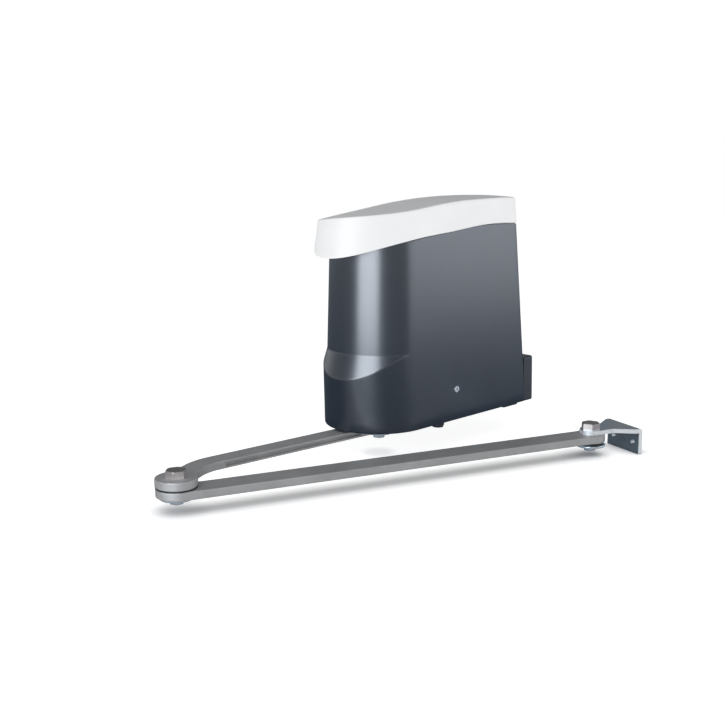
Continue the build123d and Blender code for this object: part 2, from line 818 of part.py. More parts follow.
def make_tray():
    y = -tray_distance
    z = floor_top
    tray = block(-tray_width / 2, tray_width / 2, y, y + tray_wall, z, z + tray_height)
    tray += block(-tray_width / 2, tray_width / 2, y, y + tray_foot, z, z + tray_wall)
    for side in (-1, 1):
        edge = side * (tray_width / 2 - tray_wall / 2)
        tray += block(edge - tray_wall / 2, edge + tray_wall / 2, y, y + tray_foot, z, z + tray_height)
    for x, height in board_screw_points:
        tray += lying(x, y + tray_wall, height, 4.0, board_standoff)
        tray -= lying(x, board_y - 5, height, board_screw_radius, 5)
    tray -= cylinder(gland_x, -gland_distance, z - 1, gland_hex / 2 + 4, tray_wall + 12)
    return tray


board_z = floor_top + 44.0
board_y = -tray_distance + tray_wall + board_standoff
board_screw_points = [
    (x, z)
    for x in (-board_width / 2 + board_screw_inset, board_width / 2 - board_screw_inset)
    for z in (board_z + board_screw_inset, board_z + board_height - board_screw_inset)
]


def make_board():
    board = block(-board_width / 2, board_width / 2, board_y, board_y + board_thickness,
                  board_z, board_z + board_height)
    for x, z in board_screw_points:
        board -= lying(x, board_y - 1, z, board_screw_radius + 0.3, board_thickness + 2)
    return board


def make_board_screws():
    screws = []
    for x, z in board_screw_points:
        screw = lying(x, board_y - 5, z, board_screw_radius, 5 + board_thickness)
        screw += lying(x, board_y + board_thickness, z, 2.9, 2.0)
        screws.append(screw.solid())
    return Compound(screws)


def make_terminal_blocks():
    y = board_y + board_thickness
    blocks = []
    z = board_z + block_level
    half = block_width / 2
    wire = block_wire_width / 2
    for x in (-block_spacing, 0, block_spacing):
        body = block(x - half, x + half, y, y + block_depth, z, z + block_height)
        for step in (-1, 0, 1):
            pole = x + step * block_pole_spacing
            body -= lying(pole, y + block_depth - 4, z + block_height - 4, block_screw_radius, 5)
            body -= block(pole - wire, pole + wire, y + 2, y + block_depth - 4, z - 1, z + block_height / 2 - 1)
        blocks.append(body.solid())
    return Compound(blocks)


# Cable gland


def make_gland():
    gland = cylinder(gland_x, -gland_distance, floor_z - gland_height, gland_thread_radius, floor_thickness
                     + gland_height + 7)
    gland += hexagon(gland_x, -gland_distance, floor_z - gland_height, gland_hex, gland_height)
    return gland - cylinder(gland_x, -gland_distance, floor_z - gland_height - 1, gland_bore_radius, 40)


def make_gland_nut():
    nut = hexagon(gland_x, -gland_distance, floor_top, gland_hex, 5)
    return nut - cylinder(gland_x, -gland_distance, floor_top - 1, gland_thread_radius + assembly_clearance, 8)


# Wall plate and foot fixings


def make_wall_plate():
    plate = foot_form(0.0, wall_plate_thickness)
    for x in (-1, 1):
        for z in (-1, 1):
            plate -= lying(x * wall_hole_spacing_x / 2, -wall_plate_thickness, z * wall_hole_spacing_z / 2,
                           wall_hole_radius, wall_plate_thickness)
    for x, z in stud_points:
        plate -= lying(x, -wall_plate_thickness, z, stud_radius, wall_plate_thickness)
    return plate


def make_studs():
    length = cover_rear + foot_washer_thickness + foot_nut_height + 2
    return Compound([lying(x, -length, z, stud_radius, length - 0.3).solid() for x, z in stud_points])


def make_foot_washers():
    washers = []
    for x, z in stud_points:
        y = -cover_rear - foot_washer_thickness
        washer = lying(x, y, z, foot_washer_radius, foot_washer_thickness)
        washer -= lying(x, y, z, stud_radius + 0.2, foot_washer_thickness)
        washers.append(washer.solid())
    return Compound(washers)


def make_foot_nuts():
    nuts = []
    for x, z in stud_points:
        y = -cover_rear - foot_washer_thickness - foot_nut_height
        sketch = RegularPolygon(screw_head_flats / 2, 6, major_radius=False)
        nut = Pos(x, y, z) * Rot(-90, 0, 0) * extrude(sketch, foot_nut_height)
        nut -= lying(x, y - 1, z, stud_radius + assembly_clearance, foot_nut_height + 2)
        nuts.append(nut.solid())
    return Compound(nuts)


# Arms, in their own axes: pivot at the origin, next pivot along +X


def place(shape, point, z, turn_deg):
    return Pos(point[0], point[1], z) * Rot(0, 0, turn_deg) * shape


def make_inner_arm():
    knee = (arm_1_neck_along, -arm_1_neck_aside)
    line = FilletPolyline((0, 0), knee, (arm_1_length, 0), radius=arm_1_neck_radius)
    strip = trace(line, arm_1_width)
    plan = strip + Circle(arm_1_hub_radius) + Pos(arm_1_length, 0) * Circle(arm_1_eye_radius)
    plan = fillet([v for v in plan.vertices() if v.X > arm_1_neck_along and v.Y > 0], arm_1_eye_blend)
    plan = fillet([v for v in plan.vertices() if v.X > arm_1_length - arm_1_eye_radius and v.Y < -1],
                  arm_1_outer_blend)
    plan = fillet([v for v in plan.vertices() if 1 < v.X < arm_1_hub_radius], arm_1_hub_blend)
    arm = extrude(plan, arm_1_thickness)
    arm = fillet(arm.edges().group_by(Axis.Z)[-1] + arm.edges().group_by(Axis.Z)[0], arm_edge_radius)
    tilt = -math.degrees(math.atan2(arm_1_neck_aside, arm_1_neck_along))
    groove_length = arm_1_groove_end - arm_1_groove_start
    for side in (-1, 1):
        groove = Pos((arm_1_groove_start + arm_1_groove_end) / 2, side * arm_1_width / 2,
                     arm_1_thickness / 2) * Box(groove_length, 2 * arm_1_groove_depth, arm_1_groove_height)
        groove = fillet(groove.edges().filter_by(Axis.Z), arm_1_groove_depth * 0.9)
        arm -= Rot(0, 0, tilt) * groove
    square = shaft_square + 2 * assembly_clearance
    arm -= Box(square, square, arm_1_thickness * 3)
    arm -= Pos(arm_1_length, 0, 0) * Cylinder(pin_radius + assembly_clearance, arm_1_thickness * 3)
    return place(arm, output_point, arm_1_z, arm_1_rest_deg)


def make_outer_arm():
    half = arm_2_width / 2
    edge = arm_2_aside
    bar = make_face(Polyline((0, -half - edge), (arm_2_length, -half), (arm_2_length, half),
                             (0, half - edge), close=True))
    plan = bar + Circle(arm_2_eye_radius) + Pos(arm_2_length, 0) * Circle(arm_2_tip_radius)
    plan = fillet([v for v in plan.vertices() if 1 < v.X < arm_2_length / 2 and v.Y > 0], arm_2_blend)
    plan = fillet([v for v in plan.vertices() if v.X > arm_2_length / 2], arm_2_tip_blend)
    arm = extrude(plan, arm_2_thickness)
    arm = fillet(arm.edges().group_by(Axis.Z)[-1] + arm.edges().group_by(Axis.Z)[0], arm_edge_radius)
    for x in (0, arm_2_length):
        arm -= Pos(x, 0, 0) * Cylinder(pin_radius + bush_wall, arm_2_thickness * 3)
    return place(arm, elbow_point, arm_2_z, arm_2_rest_deg)


def make_bush(point):
    return ring(point[0], point[1], arm_2_z, pin_radius + bush_wall, pin_radius + running_clearance,
                arm_2_thickness)


def make_slip_ring():
    return ring(elbow_point[0], elbow_point[1], arm_2_z + arm_2_thickness + axial_play / 2,
                arm_1_eye_radius - 0.3, pin_radius + running_clearance, slip_ring_thickness)


def pivot_pin(point, seat, end, turn):
    """Hexagon-headed pin with a tapped hole in its lower end."""
    blank = cylinder(point[0], point[1], seat, pin_head_flats / math.sqrt(3), pin_head_height)
    blank = chamfer(blank.edges().sort_by(Axis.Z)[-1], pin_head_chamfer)
    head = blank & hexagon(point[0], point[1], seat, pin_head_flats, pin_head_height, turn)
    pin = head + cylinder(point[0], point[1], end, pin_radius, seat - end)
    return pin - cylinder(point[0], point[1], end, screw_radius, screw_length)


def hex_screw(point, seat, length, turn):
    """Hexagon-headed screw pointing up from a seat level."""
    head = hexagon(point[0], point[1], seat - screw_head_height, screw_head_flats, screw_head_height, turn)
    return head + cylinder(point[0], point[1], seat, screw_radius - assembly_clearance, length)


def plain_washer(point, z, radius, thickness, hole):
    washer = ring(point[0], point[1], z, radius, hole, thickness)
    rims = washer.edges().filter_by(GeomType.CIRCLE).sort_by(SortBy.RADIUS)[-2:]
    return chamfer(rims, 0.4)


def make_gate_bracket():
    half = bracket_width / 2
    tongue = make_face(Polyline(
        (0, -bracket_tongue_radius), (bracket_shoulder_start, -bracket_tongue_radius),
        (bracket_shoulder_end, -half), (bracket_reach, -half), (bracket_reach, half),
        (bracket_shoulder_end, half), (bracket_shoulder_start, bracket_tongue_radius),
        (0, bracket_tongue_radius), close=True)) + Circle(bracket_tongue_radius)
    corners = [v for v in tongue.vertices() if 1 < v.X < bracket_reach - 1]
    tongue = fillet(corners, 3.0)
    plate = extrude(tongue, bracket_thickness)
    flange = block(bracket_reach - bracket_thickness, bracket_reach, -half, half,
                   bracket_thickness - bracket_drop, bracket_thickness)
    bracket = plate + flange
    bend = [e for e in bracket.edges().filter_by(Axis.Y) if e.center().X > bracket_reach - 0.1
            and e.center().Z > bracket_thickness - 0.1]
    bracket = fillet(bend, bracket_bend_radius)
    bracket -= Cylinder(pin_radius + assembly_clearance, bracket_thickness * 3)
    for side in (-1, 1):
        hole = Pos(bracket_reach, side * bracket_hole_spacing / 2, bracket_thickness - bracket_hole_drop)
        bracket -= hole * Rot(0, 90, 0) * Cylinder(bracket_hole_radius, bracket_thickness * 3)
    return place(bracket, bracket_point, tongue_z, bracket_rest_deg)


arm_1_top = arm_1_z + arm_1_thickness
bracket_top = tongue_z + bracket_thickness

parts = {
    "wall_plate": make_wall_plate(),
    "wall_plate_studs": make_studs(),
    "foot_washers": make_foot_washers(),
    "foot_nuts": make_foot_nuts(),
    "base_casting": make_base(),
    "gearbox_gasket": make_gasket(),
    "gearbox_lid": make_lid(),
    "lid_screws": make_lid_screws(),
    "lower_bearing": make_lower_bearing(),
    "upper_bearing": make_upper_bearing(),
    "shaft_seal": make_shaft_seal(),
    "cluster_axle": make_cluster_axle(),
    "cluster_gear": make_cluster_gear(),
    "drive_pinion": make_drive_pinion(),
    "gearhead": make_gearhead(),
    "gearhead_screws": make_gearhead_screws(),
    "motor_can": make_motor_can(),
    "motor_end_cap": make_motor_end_cap(),
    "motor_terminals": make_motor_terminals(),
    "release_barrel": make_release_barrel(),
    "release_spindle": make_release_spindle(),
    "clutch_plunger": make_clutch_plunger(),
    "terminal_tray": make_tray(),
    "terminal_board": make_board(),
    "board_screws": make_board_screws(),
    "terminal_blocks": make_terminal_blocks(),
    "cable_gland": make_gland(),
    "gland_nut": make_gland_nut(),
    "body_cover": make_cover(),
    "cover_screws": make_cover_screws(),
    "top_cap": make_cap(),
    "output_shaft": make_output_shaft(),
    "output_gear": make_output_gear(),
    "output_key": make_output_key(),
    "stop_dog": make_stop_dog(),
    "inner_arm": make_inner_arm(),
    "hub_washer": plain_washer(output_point, hub_washer_z, hub_washer_radius, hub_washer_thickness,
                               screw_radius + 0.2),
    "hub_screw": hex_screw(output_point, hub_washer_z, screw_length, 12.0),
    "elbow_pin": pivot_pin(elbow_point, arm_1_top, arm_2_z - axial_play, 8.0),
    "elbow_washer": plain_washer(elbow_point, elbow_washer_z, pin_washer_radius, pin_washer_thickness,
                                 screw_radius + 0.2),
    "elbow_screw": hex_screw(elbow_point, elbow_washer_z, screw_length, 20.0),
    "slip_ring": make_slip_ring(),
    "outer_arm": make_outer_arm(),
    "elbow_bush": make_bush(elbow_point),
    "bracket_bush": make_bush(bracket_point),
    "gate_bracket": make_gate_bracket(),
    "bracket_pin": pivot_pin(bracket_point, bracket_top, spacer_z, 15.0),
    "bracket_spacer": ring(bracket_point[0], bracket_point[1], spacer_z, spacer_radius,
                           pin_radius + assembly_clearance, spacer_thickness),
    "bracket_washer": plain_washer(bracket_point, bracket_washer_z, pin_washer_radius, pin_washer_thickness,
                                   screw_radius + 0.2),
    "bracket_screw": hex_screw(bracket_point, bracket_washer_z, screw_length, 5.0),
}

os.makedirs("parts", exist_ok=True)
for name, shape in parts.items():
    export_step(shape, f"parts/{name}.step")
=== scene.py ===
import json
import math
from collections import defaultdict
from functools import lru_cache

import bmesh
import bpy
from bpy.props import FloatProperty, FloatVectorProperty, IntProperty, PointerProperty
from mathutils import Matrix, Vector


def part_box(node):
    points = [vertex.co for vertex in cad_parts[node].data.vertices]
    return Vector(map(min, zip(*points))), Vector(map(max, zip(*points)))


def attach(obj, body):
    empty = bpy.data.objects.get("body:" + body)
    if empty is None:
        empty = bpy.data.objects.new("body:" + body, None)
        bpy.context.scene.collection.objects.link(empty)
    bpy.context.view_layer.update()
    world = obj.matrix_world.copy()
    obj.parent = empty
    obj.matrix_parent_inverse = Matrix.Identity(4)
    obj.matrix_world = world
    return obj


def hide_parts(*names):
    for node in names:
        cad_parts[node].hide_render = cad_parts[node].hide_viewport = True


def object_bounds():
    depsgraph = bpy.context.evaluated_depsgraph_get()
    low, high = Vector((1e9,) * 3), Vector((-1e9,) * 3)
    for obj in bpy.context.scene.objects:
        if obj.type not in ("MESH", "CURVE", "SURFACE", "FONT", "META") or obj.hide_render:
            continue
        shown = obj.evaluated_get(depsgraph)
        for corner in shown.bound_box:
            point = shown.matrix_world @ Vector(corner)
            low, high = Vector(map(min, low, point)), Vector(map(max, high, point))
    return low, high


bl_info = {
    "name": "Articulated Arm Gate Opener",
    "version": (1, 0, 0),
    "blender": (4, 5, 0),
    "location": "3D View > Sidebar > Gate Opener",
    "description": "Dresses the gate opener's frame: moulded cover and cap, arms, bracket, fittings, stage",
    "category": "Object",
}

MM = 0.001
WELD = 0.002 * MM
SLIVER = 0.001 * MM
LEAST_CORNER = 0.3 * MM
SMOOTH_ANGLE = 32.0
PICTURE_SIDE = 724.0

# Lower and upper edge of the cap: distance from the wall and height over the skirt, in millimetres
WAVE_LOW = [(8, 221.6), (100, 223.4), (150, 219.6), (206, 215.8), (262, 206.7), (302, 194.5)]
WAVE_HIGH = [(8, 250.8), (100, 253.8), (150, 251.8), (206, 247.0), (262, 241.6), (302, 236.6)]
CAP_LOW = min(height for _, height in WAVE_LOW) * MM
CAP_HIGH = max(height for _, height in WAVE_HIGH) * MM

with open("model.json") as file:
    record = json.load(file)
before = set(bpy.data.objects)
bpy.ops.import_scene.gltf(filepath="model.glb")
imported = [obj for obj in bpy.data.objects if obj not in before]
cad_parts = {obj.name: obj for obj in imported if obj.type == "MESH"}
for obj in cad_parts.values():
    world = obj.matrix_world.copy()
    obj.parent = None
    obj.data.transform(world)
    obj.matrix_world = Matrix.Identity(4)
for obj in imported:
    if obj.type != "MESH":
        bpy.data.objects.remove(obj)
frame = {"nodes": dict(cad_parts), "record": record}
CAD_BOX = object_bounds()


# Settings


def length(name, description, default):
    """A length, in metres."""
    return FloatProperty(name=name, description=description, default=default, unit="LENGTH", precision=5)


def colour(name, description, default):
    """A colour, in linear light."""
    return FloatVectorProperty(name=name, description=description, default=default, subtype="COLOR", size=3,
                               min=0.0, max=1.0)


class OpenerSizes(bpy.types.PropertyGroup):
    """Sizes of the housing, in metres, as the frame has them."""

    half_width: length("Half width", "Half of the cover's width at the skirt", 62 * MM)
    nose_axis: length("Nose axis", "Distance of the nose's axis from the wall", 211 * MM)
    skirt: length("Skirt", "Height of the cover's lower edge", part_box("body_cover")[0][2])
    cover_wall: length("Cover wall", "Wall of the cover", 3 * MM)
    rear_gap: length("Rear gap", "Distance of the cover's rear face from the wall at the skirt", 12 * MM)
    rear_lean: length("Rear lean", "How far the rear face leans forward over the cover's height", 20 * MM)
    cover_height: length("Cover height", "Height over which the rear face leans", 224 * MM)
    rear_corner: length("Rear corner", "Radius of the two upright rear corners", 3.5 * MM)
    chin_height: length("Chin height", "Height where the chin stands out most", 60 * MM)
    chin_ramp: length("Chin ramp", "Height of the crescent ramp above it", 28 * MM)
    chin_reach_bottom: length("Chin reach at skirt", "Chin's reach in front of the nose axis", 64 * MM)
    chin_reach_top: length("Chin reach at ramp", "Chin's reach in front of the nose axis", 67.5 * MM)
    edge: length("Edge", "Rounding of the moulded edges", 1.2 * MM)
    skirt_edge: length("Skirt edge", "Rounding of the cover's lower edge", 2.0 * MM)
    cap_proud: length("Cap proud", "How far the cap stands proud of the cover", 2.2 * MM)
    cap_reach_low: length("Peak reach", "Reach of the cap's lower edge in front of the nose axis", 86 * MM)
    cap_reach_high: length("Peak reach at top", "Reach of the cap's top in front of the nose axis", 76 * MM)
    cap_draft: length("Cap draft", "How far the cap's sides lean in towards its top", 3.2 * MM)
    cap_crown: length("Cap crown", "Rise of the cap's top over its middle", 0.8 * MM)
    cap_fall_rear: length("Rear fall", "Fall of the cap's top to the far side, at the wall", 3 * MM)
    cap_fall_nose: length("Nose fall", "Fall of the cap's top to the far side, at the nose", 15 * MM)
    cap_wall: length("Cap wall", "Wall of the cap", 2.4 * MM)
    lip_height: length("Lip height", "Height of the cover's lip inside the cap", 6 * MM)
    lip_inset: length("Lip inset", "Step from the cover's face to its lip", 1.7 * MM)
    lip_gap: length("Lip gap", "Play between lip and cap", 0.4 * MM)
    shadow_gap: length("Shadow gap", "Gap between cover and cap", 0.6 * MM)
    foot_depth: length("Foot depth", "Depth of the foot and its plate", 17 * MM)
    plate_face: FloatProperty(name="Plate face", description="Smaller faces of the bracket are cut edges",
                              default=450 * MM * MM, unit="AREA", precision=6)
    draft: FloatProperty(name="Draft", description="Draft of the cover's sides", default=math.radians(1.5),
                         subtype="ANGLE")
    nose_steps: IntProperty(name="Nose steps", description="Faces round the nose", default=96,
                            min=24, max=240)


class OpenerFinishes(bpy.types.PropertyGroup):
    """Colours of the finishes."""

    slate: colour("Slate plastic", "Cover", (0.012, 0.020, 0.034))
    white: colour("White plastic", "Cap", (0.85, 0.85, 0.85))
    arm: colour("Arm", "Satin grey of both arms", (0.33, 0.33, 0.33))
    casting: colour("Painted casting", "Wall foot and base", (0.022, 0.027, 0.037))
    raw: colour("Raw casting", "Lid and gearhead", (0.55, 0.56, 0.57))
    zinc: colour("Zinc plate", "Washers, screws and nuts", (0.66, 0.72, 0.78))
    folded: colour("Folded plate", "Gate bracket of duller zinc plate", (0.33, 0.39, 0.44))
    sheared: colour("Sheared edge", "Cut edges of the gate bracket", (0.70, 0.73, 0.75))
    stainless: colour("Pin head", "Flats of the pivot pins", (0.64, 0.59, 0.57))
    # Pin top colour is painted shade: a much darker copy of the pin-head colour, given to the upward tops of
    # the pins.
    pin_top_shade: colour("Pin top", "Turned tops of the pivot pins", (0.20, 0.18, 0.17))
    steel: colour("Ground steel", "Shafts, gears and bearings", (0.50, 0.51, 0.52))
    bronze: colour("Bronze", "Bushes", (0.55, 0.36, 0.16))
    brass: colour("Brass", "Terminals and plunger", (0.72, 0.55, 0.24))
    black: colour("Black", "Nylon and rubber", (0.012, 0.012, 0.013))
    board: colour("Board", "Terminal board", (0.02, 0.16, 0.07))
    blocks: colour("Terminal blocks", "Terminal blocks", (0.04, 0.30, 0.12))


class StageSettings(bpy.types.PropertyGroup):
    """Camera and lights."""

    camera_x: length("Camera X", "Camera place", 919.8 * MM)
    camera_y: length("Camera Y", "Camera place", -1158.8 * MM)
    camera_z: length("Camera Z", "Camera place", 317.1 * MM)
    azimuth: FloatProperty(name="Azimuth", description="Bearing of the view", default=math.radians(45),
                           subtype="ANGLE")
    pitch: FloatProperty(name="Pitch", description="How far the camera looks down",
                         default=math.radians(11.78), subtype="ANGLE")
    focal: FloatProperty(name="Focal length", description="In pixels of the 724 pixel frame", default=1170.0)
    floor_size: length("Floor", "Side of the floor", 80.0)


def sizes():
    """The housing's sizes, as set in the scene."""
    return bpy.context.scene.opener_sizes


def finishes():
    """The colours of the finishes, as set in the scene."""
    return bpy.context.scene.opener_finishes


# Materials


def blank(name):
    """A material with its shader, ready for nodes."""
    material = bpy.data.materials.new(name)
    material.use_nodes = True
    tree = material.node_tree
    shader = tree.nodes["Principled BSDF"]
    return material, tree, shader


def object_coordinates(tree, scale=(1, 1, 1)):
    """Object coordinates through a Mapping node."""
    source = tree.nodes.new("ShaderNodeTexCoord")
    mapping = tree.nodes.new("ShaderNodeMapping")
    mapping.inputs["Scale"].default_value = scale
    tree.links.new(source.outputs["Object"], mapping.inputs["Vector"])
    return mapping.outputs["Vector"]


def noise(tree, vector, scale, detail=3.0, roughness=0.5):
    """Noise at a vector, from 0 to 1."""
    node = tree.nodes.new("ShaderNodeTexNoise")
    node.inputs["Scale"].default_value = scale
    node.inputs["Detail"].default_value = detail
    node.inputs["Roughness"].default_value = roughness
    tree.links.new(vector, node.inputs["Vector"])
    return node.outputs["Fac"]


def ramp(tree, factor, stops):
    """Colour ramp from (position, colour) stops."""
    node = tree.nodes.new("ShaderNodeValToRGB")
    elements = node.color_ramp.elements
    while len(elements) < len(stops):
        elements.new(0.5)
    for element, (position, value) in zip(elements, stops):
        element.position = position
        element.color = (*value, 1.0)
    tree.links.new(factor, node.inputs["Fac"])
    return node.outputs["Color"]


def spread(tree, factor, low, high):
    """Maps a 0 to 1 factor to a range."""
    node = tree.nodes.new("ShaderNodeMapRange")
    node.inputs["To Min"].default_value = low
    node.inputs["To Max"].default_value = high
    tree.links.new(factor, node.inputs["Value"])
    return node.outputs["Result"]


def bump(tree, shader, height, strength, distance):
    """Relief from a height factor."""
    node = tree.nodes.new("ShaderNodeBump")
    node.inputs["Strength"].default_value = strength
    node.inputs["Distance"].default_value = distance
    tree.links.new(height, node.inputs["Height"])
    tree.links.new(node.outputs["Normal"], shader.inputs["Normal"])


def shade(value, factor):
    """A lighter or darker shade of a colour."""
    return tuple(min(1.0, channel * factor) for channel in value)


def moulded(name, value, roughness, grain=900.0, relief=0.02, variation=0.06, level=0.5):
    """Moulded plastic: spark-eroded grain, slight mottling and wear of the gloss."""
    material, tree, shader = blank(name)
    vector = object_coordinates(tree)
    mottle = noise(tree, vector, 22.0, 4.0)
    tones = [(0.3, shade(value, 1 - variation)), (0.7, shade(value, 1 + variation))]
    tree.links.new(ramp(tree, mottle, tones), shader.inputs["Base Color"])
    gloss = noise(tree, vector, 60.0, 5.0, 0.6)
    tree.links.new(spread(tree, gloss, roughness - 0.03, roughness + 0.03), shader.inputs["Roughness"])
    bump(tree, shader, noise(tree, vector, grain, 2.0), relief, 0.0004)
    shader.inputs["Specular IOR Level"].default_value = level
    return material


def satin_metal(name, value, roughness, stretch=(1, 1, 1), scale=300.0, metallic=1.0):
    """Metal with a directional grain and faint stains."""
    material, tree, shader = blank(name)
    grain = noise(tree, object_coordinates(tree, stretch), scale, 6.0, 0.6)
    stain = noise(tree, object_coordinates(tree), 35.0, 4.0)
    tree.links.new(ramp(tree, stain, [(0.25, shade(value, 0.9)), (0.75, shade(value, 1.08))]),
                   shader.inputs["Base Color"])
    tree.links.new(spread(tree, grain, roughness - 0.06, roughness + 0.08), shader.inputs["Roughness"])
    bump(tree, shader, grain, 0.03, 0.0003)
    shader.inputs["Metallic"].default_value = metallic
    return material


def zinc_plated(name, value, roughness=0.20, metallic=0.6):
    """Zinc plating with its bluish to straw bloom."""
    material, tree, shader = blank(name)
    vector = object_coordinates(tree)
    bloom = noise(tree, vector, 45.0, 3.0, 0.55)
    blue = (value[0] * 0.86, value[1] * 0.97, value[2] * 1.06)
    straw = (value[0] * 1.12, value[1] * 1.06, value[2])
    tones = [(0.3, blue), (0.55, value), (0.75, straw)]
    tree.links.new(ramp(tree, bloom, tones), shader.inputs["Base Color"])
    fine = noise(tree, vector, 220.0, 4.0, 0.6)
    tree.links.new(spread(tree, fine, roughness - 0.04, roughness + 0.12), shader.inputs["Roughness"])
    bump(tree, shader, bloom, 0.03, 0.0006)
    shader.inputs["Metallic"].default_value = metallic
    return material


def cast_metal(name, value, roughness, metallic, relief=0.25):
    """Die casting, painted or raw, with an orange-peel skin."""
    material, tree, shader = blank(name)
    vector = object_coordinates(tree)
    skin = noise(tree, vector, 500.0, 4.0, 0.6)
    patches = noise(tree, vector, 30.0, 3.0)
    tree.links.new(ramp(tree, patches, [(0.3, shade(value, 0.88)), (0.7, shade(value, 1.12))]),
                   shader.inputs["Base Color"])
    tree.links.new(spread(tree, skin, roughness - 0.05, roughness + 0.1), shader.inputs["Roughness"])
    bump(tree, shader, skin, relief, 0.0005)
    shader.inputs["Metallic"].default_value = metallic
    return material


def circuit_board(name, value):
    """Solder mask over copper tracks."""
    material, tree, shader = blank(name)
    tracks = tree.nodes.new("ShaderNodeTexWave")
    tracks.wave_type = "BANDS"
    tracks.bands_direction = "Z"
    tracks.inputs["Scale"].default_value = 80.0
    tracks.inputs["Distortion"].default_value = 3.0
    tree.links.new(object_coordinates(tree), tracks.inputs["Vector"])
    tree.links.new(ramp(tree, tracks.outputs["Fac"], [(0.4, value), (0.55, shade(value, 1.7))]),
                   shader.inputs["Base Color"])
    bump(tree, shader, tracks.outputs["Fac"], 0.1, 0.0002)
    shader.inputs["Roughness"].default_value = 0.35
    return material


def make_materials():
    """One material for each slot of the record, and those of single faces."""
    tone = finishes()
    return {
        "slate_plastic": moulded("slate_plastic", tone.slate, 0.30, level=1.0),
        "white_plastic": moulded("white_plastic", tone.white, 0.45, variation=0.015, level=0.2),
        "grey_powder": satin_metal("satin_arm", tone.arm, 0.50, (1, 1, 6), 260.0, 0.3),
        "dark_casting": cast_metal("painted_casting", tone.casting, 0.38, 0.0),
        "raw_casting": cast_metal("raw_casting", tone.raw, 0.5, 1.0),
        "zinc_plate": zinc_plated("zinc_plate", tone.zinc),
        "folded_plate": zinc_plated("folded_plate", tone.folded, 0.26, 0.85),
        "sheared_edge": satin_metal("sheared_edge", tone.sheared, 0.42, (1, 1, 5), 500.0, 0.3),
        "stainless": satin_metal("pin_head", tone.stainless, 0.34, (1, 1, 3), 300.0, 0.85),
        # Painted shade: the pin metal made dark for the pins' upward tops.
        "pin_top_painted_shade": satin_metal("pin_top_painted_shade", tone.pin_top_shade, 0.30, metallic=0.85),
        "bearing_steel": satin_metal("ground_steel", tone.steel, 0.28, (1, 1, 8), 400.0),
        "bronze": cast_metal("sintered_bronze", tone.bronze, 0.4, 1.0, 0.1),
        "brass": satin_metal("turned_brass", tone.brass, 0.25, (1, 1, 8), 400.0),
        "black_rubber": moulded("black_rubber", tone.black, 0.6, 600.0, 0.05),
        "black_nylon": moulded("black_nylon", tone.black, 0.42, 500.0, 0.03),
        "tray_plastic": moulded("tray_plastic", shade(tone.black, 2.5), 0.5, 700.0, 0.03),
        "board_green": circuit_board("circuit_board", tone.board),
        "block_green": moulded("terminal_block", tone.blocks, 0.3),
    }


# Mesh helpers


def finish_piece(piece, body, slot, node, finish=None):
    """Binds a finished piece to the frame; finish names its material where the slot's own won't do."""
    piece.data.materials.clear()
    piece.data.materials.append(MATERIALS[finish or slot])
    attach(piece, body)
    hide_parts(node)
    return piece


def add_mesh(name, mesh):
    """A new object in the scene with a mesh."""
    piece = bpy.data.objects.new(name, mesh)
    bpy.context.scene.collection.objects.link(piece)
    return piece


def smooth_by_angle(mesh, degrees):
    """Smooth shading, sharp where faces meet at more than an angle."""
    mesh.polygons.foreach_set("use_smooth", [True] * len(mesh.polygons))
    mesh.set_sharp_from_angle(angle=math.radians(degrees))


def apply_modifiers(piece):
    """Bakes a piece's modifiers into its mesh."""
    evaluated = piece.evaluated_get(bpy.context.evaluated_depsgraph_get())
    mesh = bpy.data.meshes.new_from_object(evaluated)
    piece.modifiers.clear()
    piece.data = mesh


def body_of_node(node):
    """The moving body that a node belongs to."""
    for body, members in frame["record"]["behaviour"]["bodies"].items():
        if node in members:
            return body
    raise RuntimeError(f"no body holds {node}")


def slot_of_node(node):
    """The material slot that the record gives to a node."""
    for row in frame["record"]["subparts"]:
        if row["node"] == node:
            return row["material_slot"]
    raise RuntimeError(f"no slot for {node}")


def merged_copy(node):
    """A node's mesh with its loose triangles joined and its flat faces made whole."""
    mesh = frame["nodes"][node].data.copy()
    built = bmesh.new()
    built.from_mesh(mesh)
    bmesh.ops.remove_doubles(built, verts=built.verts, dist=WELD)
    bmesh.ops.dissolve_degenerate(built, edges=built.edges, dist=SLIVER)
    bmesh.ops.dissolve_limit(built, angle_limit=math.radians(0.4), verts=built.verts, edges=built.edges)
    built.to_mesh(mesh)
    built.free()
    mesh.name = node
    return mesh


def dress(node, edge=0.0, angle=SMOOTH_ANGLE, finish=None):
    """A smooth copy of a CAD node, its edges broken, that stands for the node."""
    piece = add_mesh(f"{node}_dressed", merged_copy(node))
    if edge > 0:
        bevel = piece.modifiers.new("edge", "BEVEL")
        bevel.width = edge
        bevel.segments = 2
        bevel.limit_method = "ANGLE"
        bevel.angle_limit = math.radians(35)
        apply_modifiers(piece)
    smooth_by_angle(piece.data, angle)
    piece.modifiers.new("flat_faces", "WEIGHTED_NORMAL").keep_sharp = True
    apply_modifiers(piece)
    return finish_piece(piece, body_of_node(node), slot_of_node(node), node, finish=finish)


def paint_faces(piece, finish, chosen):
    """Gives a second finish to the faces that are chosen."""
    piece.data.materials.append(MATERIALS[finish])
    for face in piece.data.polygons:
        if chosen(face):
            face.material_index = 1


def box_mesh(name, low, high):
    """A box between two corners."""
    mesh = bpy.data.meshes.new(name)
    built = bmesh.new()
    bmesh.ops.create_cube(built, size=1.0)
    centre = (Vector(low) + Vector(high)) / 2
    span = Vector(high) - Vector(low)
    bmesh.ops.scale(built, vec=span, verts=built.verts)
    bmesh.ops.translate(built, vec=centre, verts=built.verts)
    built.to_mesh(mesh)
    built.free()
    return add_mesh(name, mesh)


def cut(piece, tool):
    """Cuts a tool's solid out of a piece and removes the tool."""
    modifier = piece.modifiers.new("cut", "BOOLEAN")
    modifier.operation = "DIFFERENCE"
    modifier.solver = "EXACT"
    modifier.object = tool
    apply_modifiers(piece)
    bpy.data.objects.remove(tool)


# Fasteners


